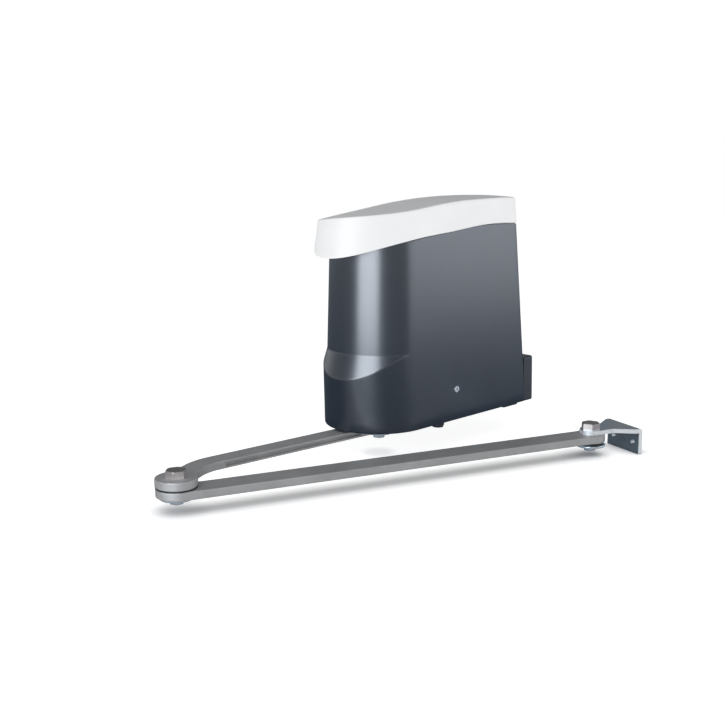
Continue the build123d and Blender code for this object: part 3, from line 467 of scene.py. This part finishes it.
class FastenerTree:
    """Geometry Nodes that put one screw, nut or washer on each point, along the point's own axis."""

    LENGTHS = ("Head Radius", "Head Height", "Chamfer", "Shank Radius", "Shank Length", "Bore Radius",
               "Bore Depth")
    COUNTS = ("Head Sides", "Bore Sides")
    SHANK_SIDES = 24

    def __init__(self):
        self.tree = bpy.data.node_groups.new("fastener_on_points", "GeometryNodeTree")
        self.sockets = {}
        self.socket("Points", "NodeSocketGeometry")
        for name in self.LENGTHS:
            self.socket(name, "NodeSocketFloat")
        for name in self.COUNTS:
            self.socket(name, "NodeSocketInt")
        self.socket("Material", "NodeSocketMaterial")
        self.tree.interface.new_socket("Fasteners", in_out="OUTPUT", socket_type="NodeSocketGeometry")
        self.given = self.tree.nodes.new("NodeGroupInput").outputs
        self.wire()

    def socket(self, name, kind):
        """An input of the whole tree, kept by name."""
        made = self.tree.interface.new_socket(name, in_out="INPUT", socket_type=kind)
        self.sockets[name] = made.identifier

    def feed(self, target, value):
        """Links a socket to another one, or sets it to a number."""
        if isinstance(value, bpy.types.NodeSocket):
            self.tree.links.new(value, target)
        else:
            target.default_value = value

    def node(self, kind, settings=None, **inputs):
        """A node with its settings, and its inputs set or linked by name."""
        node = self.tree.nodes.new(kind)
        for name, value in (settings or {}).items():
            setattr(node, name, value)
        for name, value in inputs.items():
            self.feed(node.inputs[name.replace("_", " ")], value)
        return node

    def maths(self, operation, *values):
        """Two values, numbers or sockets, taken together."""
        node = self.node("ShaderNodeMath", {"operation": operation})
        for target, value in zip(node.inputs, values):
            self.feed(target, value)
        return node.outputs[0]

    def raised(self, mesh, height):
        """A mesh lifted along its axis."""
        place = self.node("ShaderNodeCombineXYZ", Z=height)
        return self.node("GeometryNodeTransform", Geometry=mesh, Translation=place.outputs[0]).outputs[0]

    def rod(self, sides, radius, depth, height):
        """A cylinder with its middle at a height."""
        rod = self.node("GeometryNodeMeshCylinder", Vertices=sides, Radius=radius, Depth=depth)
        return self.raised(rod.outputs["Mesh"], height)

    def boolean(self, operation, first, *others):
        """The union of all the meshes, or the first one less the others."""
        node = self.node("GeometryNodeMeshBoolean", {"operation": operation})
        if operation == "DIFFERENCE":
            self.tree.links.new(first, node.inputs["Mesh 1"])
        else:
            others = (first, *others)
        for mesh in others:
            self.tree.links.new(mesh, node.inputs["Mesh 2"])
        return node.outputs["Mesh"]

    def wire(self):
        """A chamfered head on its shank, bored or socketed, one on each point."""
        given = self.given
        upright = self.maths("SUBTRACT", given["Head Height"], given["Chamfer"])
        head = self.rod(given["Head Sides"], given["Head Radius"], upright,
                        self.maths("MULTIPLY", upright, 0.5))
        narrow = self.maths("SUBTRACT", given["Head Radius"], given["Chamfer"])
        rim = self.node("GeometryNodeMeshCone", Vertices=given["Head Sides"], Radius_Top=narrow,
                        Radius_Bottom=given["Head Radius"], Depth=given["Chamfer"])
        shank = self.rod(self.SHANK_SIDES, given["Shank Radius"], given["Shank Length"],
                         self.maths("MULTIPLY", given["Shank Length"], -0.5))
        whole = self.boolean("UNION", head, self.raised(rim.outputs["Mesh"], upright), shank)
        bore = self.rod(given["Bore Sides"], given["Bore Radius"],
                        self.maths("MULTIPLY", given["Bore Depth"], 2.0), given["Head Height"])
        single = self.boolean("DIFFERENCE", whole, bore)
        axis = self.node("GeometryNodeInputNamedAttribute", {"data_type": "FLOAT_VECTOR"}, Name="axis")
        turn = self.node("FunctionNodeAlignRotationToVector", {"axis": "Z"}, Vector=axis.outputs["Attribute"])
        copies = self.node("GeometryNodeInstanceOnPoints", Points=given["Points"], Instance=single,
                           Rotation=turn.outputs[0])
        real = self.node("GeometryNodeRealizeInstances", Geometry=copies.outputs[0])
        painted = self.node("GeometryNodeSetMaterial", Geometry=real.outputs[0], Material=given["Material"])
        self.tree.links.new(painted.outputs[0], self.tree.nodes.new("NodeGroupOutput").inputs[0])


def solids_of(node):
    """Lowest and highest corner of each separate solid of a node."""
    built = bmesh.new()
    built.from_mesh(merged_copy(node))
    seen = set()
    boxes = []
    for start in built.verts:
        if start in seen:
            continue
        group, reached = {start}, [start]
        while reached:
            here = reached.pop()
            near = {edge.other_vert(here) for edge in here.link_edges} - group
            reached.extend(near)
            group |= near
        seen |= group
        low = Vector([min(vert.co[axis] for vert in group) for axis in range(3)])
        high = Vector([max(vert.co[axis] for vert in group) for axis in range(3)])
        boxes.append((low, high))
    built.free()
    return boxes


def fasten(node, axis_of, **shape):
    """Remakes a node's fasteners, each standing on its own seat; shape gives their sizes."""
    points, axes = [], []
    for low, high in solids_of(node):
        centre = (low + high) / 2
        axis = Vector(axis_of(centre))
        span = abs((high - low).dot(axis))
        points.append(centre + axis * (span / 2 - shape["Head Height"]))
        axes.append(axis)
    mesh = bpy.data.meshes.new(f"{node}_made")
    mesh.from_pydata(points, [], [])
    directions = mesh.attributes.new("axis", "FLOAT_VECTOR", "POINT")
    directions.data.foreach_set("vector", [part for axis in axes for part in axis])
    piece = add_mesh(f"{node}_made", mesh)
    modifier = piece.modifiers.new("fasteners", "NODES")
    modifier.node_group = TREES["fastener"].tree
    shape.setdefault("Shank Length", span - shape["Head Height"])
    for name, identifier in TREES["fastener"].sockets.items():
        if name in shape:
            modifier[identifier] = shape[name]
    modifier[TREES["fastener"].sockets["Material"]] = MATERIALS[slot_of_node(node)]
    apply_modifiers(piece)
    if "axis" in piece.data.attributes:
        piece.data.attributes.remove(piece.data.attributes["axis"])
    smooth_by_angle(piece.data, SMOOTH_ANGLE)
    finish_piece(piece, body_of_node(node), slot_of_node(node), node)


def upward(centre):
    """Along the pivots' axes."""
    return 0, 0, 1


def forward(centre):
    """Away from the board, towards the wall."""
    return 0, 1, 0


def noseward(centre):
    """Away from the wall."""
    return 0, -1, 0


def outward(centre):
    """Away from the housing's middle plane, to the side that a screw is on."""
    return math.copysign(1, centre.x), 0, 0


def screw(head_radius, head_height, shank_radius, bore_radius, bore_depth, bore_sides=6):
    """Sizes of a round-headed screw, given in millimetres."""
    lengths = {"Head Radius": head_radius, "Head Height": head_height, "Chamfer": 0.3,
               "Shank Radius": shank_radius, "Bore Radius": bore_radius, "Bore Depth": bore_depth}
    in_metres = {name: value * MM for name, value in lengths.items()}
    return {**in_metres, "Head Sides": 36, "Bore Sides": bore_sides}


def ring(radius, height, hole, sides=48):
    """Sizes of a washer, or of a nut with six sides, in millimetres; its bore takes the whole shank away."""
    past_face = 1.0
    return {**screw(radius, height, hole / 2, hole, height + past_face, 32), "Chamfer": 0.2 * MM,
            "Shank Length": 0.1 * MM, "Head Sides": sides}


def thickness_of(node):
    """Thickness of a washer or nut on the wall, in millimetres."""
    low, high = solids_of(node)[0]
    return (high.y - low.y) / MM


class OPENER_OT_fasteners(bpy.types.Operator):
    """Screws, nuts and washers that repeat, each group grown from one set of nodes."""

    bl_idname = "opener.fasteners"
    bl_label = "Fasteners"

    def execute(self, context):
        TREES["fastener"] = FastenerTree()
        fasten("lid_screws", upward, **screw(4.2, 5.0, 2.4, 2.3, 2.5))
        fasten("gearhead_screws", upward, **screw(3.5, 4.0, 1.9, 1.85, 2.0))
        fasten("board_screws", forward, **screw(2.9, 2.0, 1.5, 1.3, 1.0, 4))
        fasten("cover_screws", outward, **screw(3.7, 2.2, 2.0, 1.7, 1.3))
        fasten("foot_washers", noseward, **ring(8.0, thickness_of("foot_washers"), 4.2))
        fasten("foot_nuts", noseward, **ring(7.5, thickness_of("foot_nuts"), 4.05, 6))
        return {"FINISHED"}


# Housing outline


def half_width_at(height):
    """Half of the cover's width at a height over the skirt."""
    size = sizes()
    return size.half_width - height * math.tan(size.draft)


def rear_at(height):
    """Distance of the cover's rear face from the wall at a height over the skirt."""
    size = sizes()
    return size.rear_gap + size.rear_lean * height / size.cover_height


@lru_cache(maxsize=None)
def stadium(half, reach, rear, corner):
    """Closed loop of plan points: rear, side, nose and side, with a fixed count."""
    size = sizes()
    corner = max(corner, LEAST_CORNER)
    rear_steps, corner_steps, side_steps, nose_steps = 6, 8, 30, size.nose_steps
    points = []
    for step in range(rear_steps):
        points.append((step / rear_steps * (half - corner), -rear))
    for step in range(corner_steps):
        turn = math.pi / 2 * step / corner_steps
        points.append((half - corner + corner * math.sin(turn), -rear - corner + corner * math.cos(turn)))
    start, end = -rear - corner, -size.nose_axis
    for step in range(side_steps):
        points.append((half, start + (end - start) * step / side_steps))
    for step in range(nose_steps // 2 + 1):
        turn = math.pi * step / nose_steps
        points.append((half * math.cos(turn), -size.nose_axis - reach * math.sin(turn)))
    mirrored = [(-x, y) for x, y in reversed(points[1:-1])]
    return points + mirrored


def spline_height(knots, reach):
    """Natural cubic through (reach, height) knots, as the wave line is drawn."""
    xs, ys = zip(*knots)
    second = natural_spline(xs, ys)
    index = 0
    while index < len(knots) - 2 and reach > xs[index + 1]:
        index += 1
    span = xs[index + 1] - xs[index]
    a = (xs[index + 1] - reach) / span
    b = (reach - xs[index]) / span
    bend = ((a ** 3 - a) * second[index] + (b ** 3 - b) * second[index + 1]) * span ** 2 / 6
    return a * ys[index] + b * ys[index + 1] + bend


@lru_cache(maxsize=None)
def natural_spline(xs, ys):
    """Second derivatives of a natural cubic spline."""
    count = len(xs)
    second, work = [0.0] * count, [0.0] * count
    for i in range(1, count - 1):
        share = (xs[i] - xs[i - 1]) / (xs[i + 1] - xs[i - 1])
        pivot = share * second[i - 1] + 2
        second[i] = (share - 1) / pivot
        slope = (ys[i + 1] - ys[i]) / (xs[i + 1] - xs[i]) - (ys[i] - ys[i - 1]) / (xs[i] - xs[i - 1])
        work[i] = (6 * slope / (xs[i + 1] - xs[i - 1]) - share * work[i - 1]) / pivot
    for i in range(count - 2, -1, -1):
        second[i] = second[i] * second[i + 1] + work[i]
    return second


def wave_low(y):
    """Height of the parting between cover and cap."""
    return spline_height(WAVE_LOW, -y / MM) * MM


def top_height(x, y):
    """Cap's top over the skirt: crowned over the middle, falling to the far side, more so at the nose."""
    size = sizes()
    near = spline_height(WAVE_HIGH, -y / MM) * MM
    share = (-y / MM - WAVE_HIGH[0][0]) / (WAVE_HIGH[-1][0] - WAVE_HIGH[0][0])
    fall = size.cap_fall_rear + (size.cap_fall_nose - size.cap_fall_rear) * share
    aside = x / size.half_width
    crowned = near + size.cap_crown + aside * fall / 2 - aside ** 2 * (size.cap_crown + fall / 2)
    return min(crowned, CAP_HIGH)


def loops_to_mesh(name, loops, closed):
    """Mesh from rows of points, each row a closed loop; closed joins the last row to the first."""
    count = len(loops[0])
    vertices = [point for loop in loops for point in loop]
    faces = []
    rows = len(loops) if closed else len(loops) - 1
    for row in range(rows):
        below, above = row * count, ((row + 1) % len(loops)) * count
        for i in range(count):
            j = (i + 1) % count
            faces.append((below + i, below + j, above + j, above + i))
    mesh = bpy.data.meshes.new(name)
    mesh.from_pydata(vertices, [], faces)
    built = bmesh.new()
    built.from_mesh(mesh)
    bmesh.ops.remove_doubles(built, verts=built.verts, dist=WELD)
    bmesh.ops.dissolve_degenerate(built, edges=built.edges, dist=SLIVER)
    bmesh.ops.recalc_face_normals(built, faces=built.faces)
    built.to_mesh(mesh)
    built.free()
    return mesh


def chin_growth(turn_sine, turn_cosine, height):
    """How far the surface stands out of the upper nose at a height: the chin and its ramp."""
    size = sizes()
    half = half_width_at(height)
    ramp_top = size.chin_height + size.chin_ramp
    recess = 0.3 * MM
    swell = size.chin_reach_top - size.chin_reach_bottom
    reach = size.chin_reach_bottom + swell * height / size.chin_height
    side = half - recess
    chin = side * reach / math.hypot(reach * turn_cosine, side * turn_sine)
    slope = (size.chin_reach_top - half_width_at(ramp_top)) / size.chin_ramp
    tent = half_width_at(ramp_top) + slope * (ramp_top - height)
    return max(0.0, min(chin, tent) - half)


def cover_loop(inset, height_of):
    """One loop of the cover's face; height_of gives each plan point its height over the skirt."""
    size = sizes()
    rough = stadium(size.half_width, size.half_width, size.rear_gap, size.rear_corner)
    result = []
    for index, (_, y) in enumerate(rough):
        height = height_of(y)
        half = half_width_at(height) - inset
        width, rear = round(half, 7), round(rear_at(height) + inset, 7)
        x, y = stadium(width, width, rear, size.rear_corner - inset)[index]
        if y < -size.nose_axis:
            cosine, sine = x / half, (-size.nose_axis - y) / half
            grow = chin_growth(sine, cosine, height)
            x += grow * cosine
            y -= grow * sine
        result.append((x, y, size.skirt + height))
    return result


def level_line(height):
    """The same height all round."""
    return lambda y: height


def shares(count):
    """Equal steps from 0 to 1, without the first."""
    return [step / count for step in range(1, count + 1)]


def rounding(count):
    """Equal steps round a quarter circle: how much is left of one leg, and how much is done of the other."""
    turns = [math.pi / 2 * step / count for step in range(count + 1)]
    return [(1 - math.sin(turn), 1 - math.cos(turn)) for turn in turns]


class OPENER_OT_cover(bpy.types.Operator):
    """Moulded cover: drafted walls, round nose, chin with a crescent ramp, lip at the top."""

    bl_idname = "opener.cover"
    bl_label = "Body cover"

    def execute(self, context):
        size = sizes()
        edge, top_edge = size.skirt_edge, 0.4 * MM
        ramp_low, ramp_high = 50 * MM, 94 * MM

        def brim(y):
            return wave_low(y) - size.shadow_gap

        def lip(y):
            return wave_low(y) + size.lip_height

        # Rounded skirt, chin, crescent ramp in fine steps, drafted wall up to the parting
        loops = [cover_loop(edge * inward, level_line(edge * rise)) for inward, rise in rounding(4)]
        for share in shares(5):
            loops.append(cover_loop(0.0, level_line(edge + (ramp_low - edge) * share)))
        for share in shares(55):
            loops.append(cover_loop(0.0, level_line(ramp_low + (ramp_high - ramp_low) * share)))
        for share in shares(12):
            loops.append(cover_loop(0.0, lambda y: ramp_high + (brim(y) - top_edge - ramp_high) * share))
        # Ledge and lip under the cap, then down the inside of the wall
        loops.append(cover_loop(top_edge, brim))
        loops.append(cover_loop(size.lip_inset, brim))
        loops.append(cover_loop(size.lip_inset, lip))
        loops.append(cover_loop(size.cover_wall, lip))
        for share in shares(7):
            loops.append(cover_loop(size.cover_wall, lambda y: lip(y) * (1 - share)))
        piece = add_mesh("cover_shell", loops_to_mesh("cover_shell", loops, True))
        self.open_for_foot(piece)
        smooth_by_angle(piece.data, 25.0)
        finish_piece(piece, "housing", "slate_plastic", "body_cover")
        return {"FINISHED"}

    def open_for_foot(self, piece):
        """Cuts the rear skirt away round the foot, and hollows out the wall in front of it."""
        size = sizes()
        play, past_wall, past_side = 0.4 * MM, 50 * MM, 200 * MM
        low, high = size.skirt - 5 * MM, play - size.skirt
        for name, side, depth in (("foot_notch", past_side, play),
                                  ("foot_mouth", size.half_width - size.rear_corner, 20 * MM)):
            cut(piece, box_mesh(name, (-side, -size.foot_depth - depth, low), (side, past_wall, high)))


def cap_loop(inset, height_of):
    """One loop of the cap's face; height_of gives each plan point its height over the skirt."""
    size = sizes()
    settling_rounds = 3
    rough = stadium(size.half_width, size.cap_reach_low, size.rear_gap + size.rear_lean, size.rear_corner)
    result = []
    for index, (x, y) in enumerate(rough):
        for _ in range(settling_rounds):
            height = height_of(x, y)
            share = (height - CAP_LOW) / (CAP_HIGH - CAP_LOW)
            half = half_width_at(height) + size.cap_proud - size.cap_draft * share - inset
            reach = size.cap_reach_low + (size.cap_reach_high - size.cap_reach_low) * share - inset
            rear = rear_at(height) - size.lip_gap + inset
            plan = round(half, 6), round(reach, 6), round(rear, 6)
            x, y = stadium(*plan, size.rear_corner - inset)[index]
        result.append((x, y, size.skirt + height))
    return result


def across(loop, share, sink=0.0):
    """A loop drawn in across the cap's top, on the crowned surface."""
    size = sizes()
    return [(x * share, y, size.skirt + top_height(x * share, y) - sink) for x, y, _ in loop]


class OPENER_OT_cap(bpy.types.Operator):
    """Top cap: wavy lower edge, peak over the nose and a crisp rounded upper edge."""

    bl_idname = "opener.cap"
    bl_label = "Top cap"

    def execute(self, context):
        size = sizes()
        edge = size.edge
        # Ceiling from its middle line outwards, then down the inside to the mouth
        mouth = size.lip_inset - size.lip_gap
        opening = cover_loop(mouth, wave_low)
        ceiling = across(opening, 1.0, size.cap_wall)
        loops = [across(opening, 0.0, size.cap_wall), across(opening, 0.5, size.cap_wall), ceiling, opening]
        # Rounded lower edge, drafted side, rounded upper edge, then the top drawn in to its middle line
        for inward, rise in rounding(4):
            loops.append(cap_loop(edge * inward, lambda x, y: wave_low(y) + edge * rise))
        for share in shares(8):
            loops.append(cap_loop(0.0, lambda x, y: (wave_low(y) + edge) * (1 - share)
                                  + (top_height(x, y) - edge) * share))
        for drop, inward in rounding(5)[1:]:
            loops.append(cap_loop(edge * inward, lambda x, y: top_height(x, y) - edge * drop))
        rim = loops[-1]
        loops.extend(across(rim, 1 - share) for share in shares(12))
        piece = add_mesh("cap_shell", loops_to_mesh("cap_shell", loops, False))
        smooth_by_angle(piece.data, 30.0)
        finish_piece(piece, "housing", "white_plastic", "top_cap")
        return {"FINISHED"}


class OPENER_OT_arms(bpy.types.Operator):
    """Both arms, with their edges broken."""

    bl_idname = "opener.arms"
    bl_label = "Arms"

    def execute(self, context):
        dress("inner_arm", 0.4 * MM)
        dress("outer_arm")
        dress("slip_ring", 0.2 * MM)
        return {"FINISHED"}


def facing(face):
    """A face's direction, rounded so that all the faces of one plane share it."""
    return tuple(round(part, 1) for part in face.normal)


class OPENER_OT_bracket(bpy.types.Operator):
    """Gate bracket of folded, zinc-plated plate."""

    bl_idname = "opener.bracket"
    bl_label = "Gate bracket"

    def execute(self, context):
        plate = dress("gate_bracket", finish="folded_plate")
        areas = defaultdict(float)
        for face in plate.data.polygons:
            areas[facing(face)] += face.area
        largest_edge = sizes().plate_face
        paint_faces(plate, "sheared_edge",
                    lambda face: abs(face.normal.z) <= 0.5 and areas[facing(face)] < largest_edge)
        dress("bracket_spacer", 0.4 * MM)
        return {"FINISHED"}


class OPENER_OT_pivots(bpy.types.Operator):
    """Pivot pins, washers and the screws that hold them."""

    bl_idname = "opener.pivots"
    bl_label = "Pivots"

    def execute(self, context):
        for node in ("elbow_pin", "bracket_pin"):
            pin = dress(node, 0.4 * MM)
            below_top = max(vertex.co.z for vertex in pin.data.vertices) - 2 * MM
            # The upward faces at the top of each pin get the darker copy of the pin metal: painted shade.
            paint_faces(pin, "pin_top_painted_shade", lambda face: face.normal.z > 0.8 and face.center.z > below_top)
        for node in ("elbow_washer", "bracket_washer", "hub_washer"):
            dress(node, 0.3 * MM, 40.0)
        for node in ("elbow_screw", "bracket_screw", "hub_screw"):
            dress(node, 0.4 * MM)
        return {"FINISHED"}


class OPENER_OT_foot(bpy.types.Operator):
    """Base casting with its wall foot, the wall plate and the fittings under the floor."""

    bl_idname = "opener.foot"
    bl_label = "Wall foot"

    def execute(self, context):
        dress("base_casting", 0.5 * MM)
        dress("wall_plate", 0.5 * MM)
        for node in ("release_barrel", "cable_gland"):
            dress(node, 0.3 * MM)
        return {"FINISHED"}


class OPENER_OT_works(bpy.types.Operator):
    """Finishes of the inner pieces that stay as the frame has them."""

    bl_idname = "opener.works"
    bl_label = "Inner works"

    def execute(self, context):
        for node, piece in frame["nodes"].items():
            piece.data.materials.clear()
            piece.data.materials.append(MATERIALS[slot_of_node(node)])
        return {"FINISHED"}


# Stage


def white_floor():
    """Pale luminous paper with a painted shadow where a piece stands close over it."""
    material, tree, shader = blank("paper_floor")
    paper = noise(tree, object_coordinates(tree), 3.0, 2.0)
    tree.links.new(ramp(tree, paper, [(0.3, (0.55, 0.55, 0.55)), (0.7, (0.57, 0.57, 0.57))]),
                   shader.inputs["Base Color"])
    shader.inputs["Roughness"].default_value = 0.9
    shader.inputs["Emission Color"].default_value = (1.0, 1.0, 1.0, 1.0)
    # Ambient occlusion lowers the glow near the pieces: a painted contact shadow.
    openness = tree.nodes.new("ShaderNodeAmbientOcclusion")
    openness.samples = 8
    openness.inputs["Distance"].default_value = 26 * MM
    tree.links.new(spread(tree, openness.outputs["AO"], -0.25, 0.88), shader.inputs["Emission Strength"])
    return material


def studio_world():
    """White round the horizon, dim overhead and below it, and a white backdrop for the camera."""
    first_colour, second_colour, mixed_colour = 6, 7, 2
    world = bpy.data.worlds.new("studio")
    bpy.context.scene.world = world
    world.use_nodes = True
    tree = world.node_tree
    source = tree.nodes.new("ShaderNodeTexCoord")
    parts = tree.nodes.new("ShaderNodeSeparateXYZ")
    tree.links.new(source.outputs["Generated"], parts.inputs["Vector"])
    rise = tree.nodes.new("ShaderNodeMapRange")
    rise.inputs["From Min"].default_value = -1.0
    tree.links.new(parts.outputs["Z"], rise.inputs["Value"])
    sky = ramp(tree, rise.outputs["Result"], [
        (0.0, (0.02, 0.025, 0.03)), (0.36, (0.035, 0.045, 0.055)), (0.465, (0.21, 0.23, 0.26)),
        (0.487, (1.0, 1.0, 1.0)), (0.548, (1.0, 1.0, 1.0)), (0.558, (0.25, 0.26, 0.27)),
        (1.0, (0.16, 0.165, 0.175))])
    path = tree.nodes.new("ShaderNodeLightPath")
    backdrop = tree.nodes.new("ShaderNodeMix")
    backdrop.data_type = "RGBA"
    tree.links.new(path.outputs["Is Camera Ray"], backdrop.inputs["Factor"])
    tree.links.new(sky, backdrop.inputs[first_colour])
    backdrop.inputs[second_colour].default_value = (1.0, 1.0, 1.0, 1.0)
    tree.links.new(backdrop.outputs[mixed_colour], tree.nodes["Background"].inputs["Color"])
    tree.nodes["Background"].inputs["Strength"].default_value = 1.02


def soft_box(name, place, target, width, height, watts, tint, seen_in):
    """A rectangular lamp turned to its target, seen in gloss or on matt surfaces alone."""
    light = bpy.data.lights.new(name, "AREA")
    light.shape = "RECTANGLE"
    light.size = width
    light.size_y = height
    light.energy = watts
    light.color = tint
    lamp = bpy.data.objects.new(name, light)
    lamp.location = place
    lamp.rotation_euler = (Vector(target) - Vector(place)).to_track_quat("-Z", "Y").to_euler()
    lamp.visible_camera = False
    lamp.visible_diffuse = seen_in == "matt"
    lamp.visible_glossy = seen_in == "gloss"
    bpy.context.scene.collection.objects.link(lamp)


class OPENER_OT_stage(bpy.types.Operator):
    """Floor, lights and camera."""

    bl_idname = "opener.stage"
    bl_label = "Stage"

    def execute(self, context):
        setting = context.scene.opener_stage
        gap_below = 0.5 * MM
        floor_z = CAD_BOX[0][2] - gap_below
        mesh = bpy.data.meshes.new("floor")
        half = setting.floor_size / 2
        mesh.from_pydata([(-half, -half, floor_z), (half, -half, floor_z), (half, half, floor_z),
                          (-half, half, floor_z)], [], [(0, 1, 2, 3)])
        floor = add_mesh("floor", mesh)
        floor.data.materials.append(white_floor())
        floor.visible_glossy = False
        studio_world()
        nose = Vector((0, -sizes().nose_axis, 0.12))
        bearing, distance = math.radians(20), 0.95
        front = nose + Vector((math.sin(bearing), -math.cos(bearing), 0)) * distance
        bluish, white = (0.86, 0.92, 1.0), (1.0, 1.0, 1.0)
        soft_box("strip", (front.x, front.y, 0.19), nose, 0.8, 0.52, 11.5, bluish, "gloss")
        soft_box("strip_above", (front.x, front.y, 0.72), nose, 0.8, 0.5, 7.6, bluish, "gloss")
        soft_box("rear_glow", (1.16, 0.82, 0.3), (0.06, -0.12, 0.2), 1.1, 0.75, 5.8, bluish, "gloss")
        soft_box("front_fill", (-0.8, -1.6, 0.2), (0, -0.2, 0.15), 1.0, 0.6, 5.5, white, "matt")
        soft_box("side_fill", (1.7, -0.1, 0.1), (0, -0.15, 0.1), 1.0, 0.5, 4.5, white, "matt")
        soft_box("overhead", (0.7, -0.9, 1.5), (0, -0.2, 0), 1.5, 1.5, 11.0, white, "matt")
        camera = bpy.data.cameras.new("camera")
        camera.sensor_width = 36.0
        camera.lens = setting.focal / PICTURE_SIDE * camera.sensor_width
        camera.clip_end = 100.0
        viewer = bpy.data.objects.new("camera", camera)
        viewer.location = (setting.camera_x, setting.camera_y, setting.camera_z)
        viewer.rotation_euler = (math.pi / 2 - setting.pitch, 0.0, setting.azimuth)
        context.scene.collection.objects.link(viewer)
        context.scene.camera = viewer
        context.scene.view_settings.view_transform = "Standard"
        return {"FINISHED"}


class OPENER_PT_panel(bpy.types.Panel):
    """Lists the pieces."""

    bl_label = "Gate Opener"
    bl_idname = "OPENER_PT_panel"
    bl_space_type = "VIEW_3D"
    bl_region_type = "UI"
    bl_category = "Gate Opener"

    def draw(self, context):
        column = self.layout.column(align=True)
        for operator in OPERATORS:
            column.operator(operator.bl_idname)


GROUPS = (("opener_sizes", OpenerSizes), ("opener_finishes", OpenerFinishes), ("opener_stage", StageSettings))
OPERATORS = (OPENER_OT_works, OPENER_OT_fasteners, OPENER_OT_cover, OPENER_OT_cap, OPENER_OT_arms,
             OPENER_OT_bracket, OPENER_OT_pivots, OPENER_OT_foot, OPENER_OT_stage)
MATERIALS = {}
TREES = {}


def register():
    for name, group in GROUPS:
        bpy.utils.register_class(group)
        setattr(bpy.types.Scene, name, PointerProperty(type=group))
    for operator in OPERATORS:
        bpy.utils.register_class(operator)
    bpy.utils.register_class(OPENER_PT_panel)


def unregister():
    bpy.utils.unregister_class(OPENER_PT_panel)
    for operator in reversed(OPERATORS):
        bpy.utils.unregister_class(operator)
    for name, group in reversed(GROUPS):
        delattr(bpy.types.Scene, name)
        bpy.utils.unregister_class(group)


def main():
    register()
    MATERIALS.update(make_materials())
    for operator in OPERATORS:
        category, name = operator.bl_idname.split(".")
        getattr(getattr(bpy.ops, category), name)()


if __name__ == "__main__":
    main()
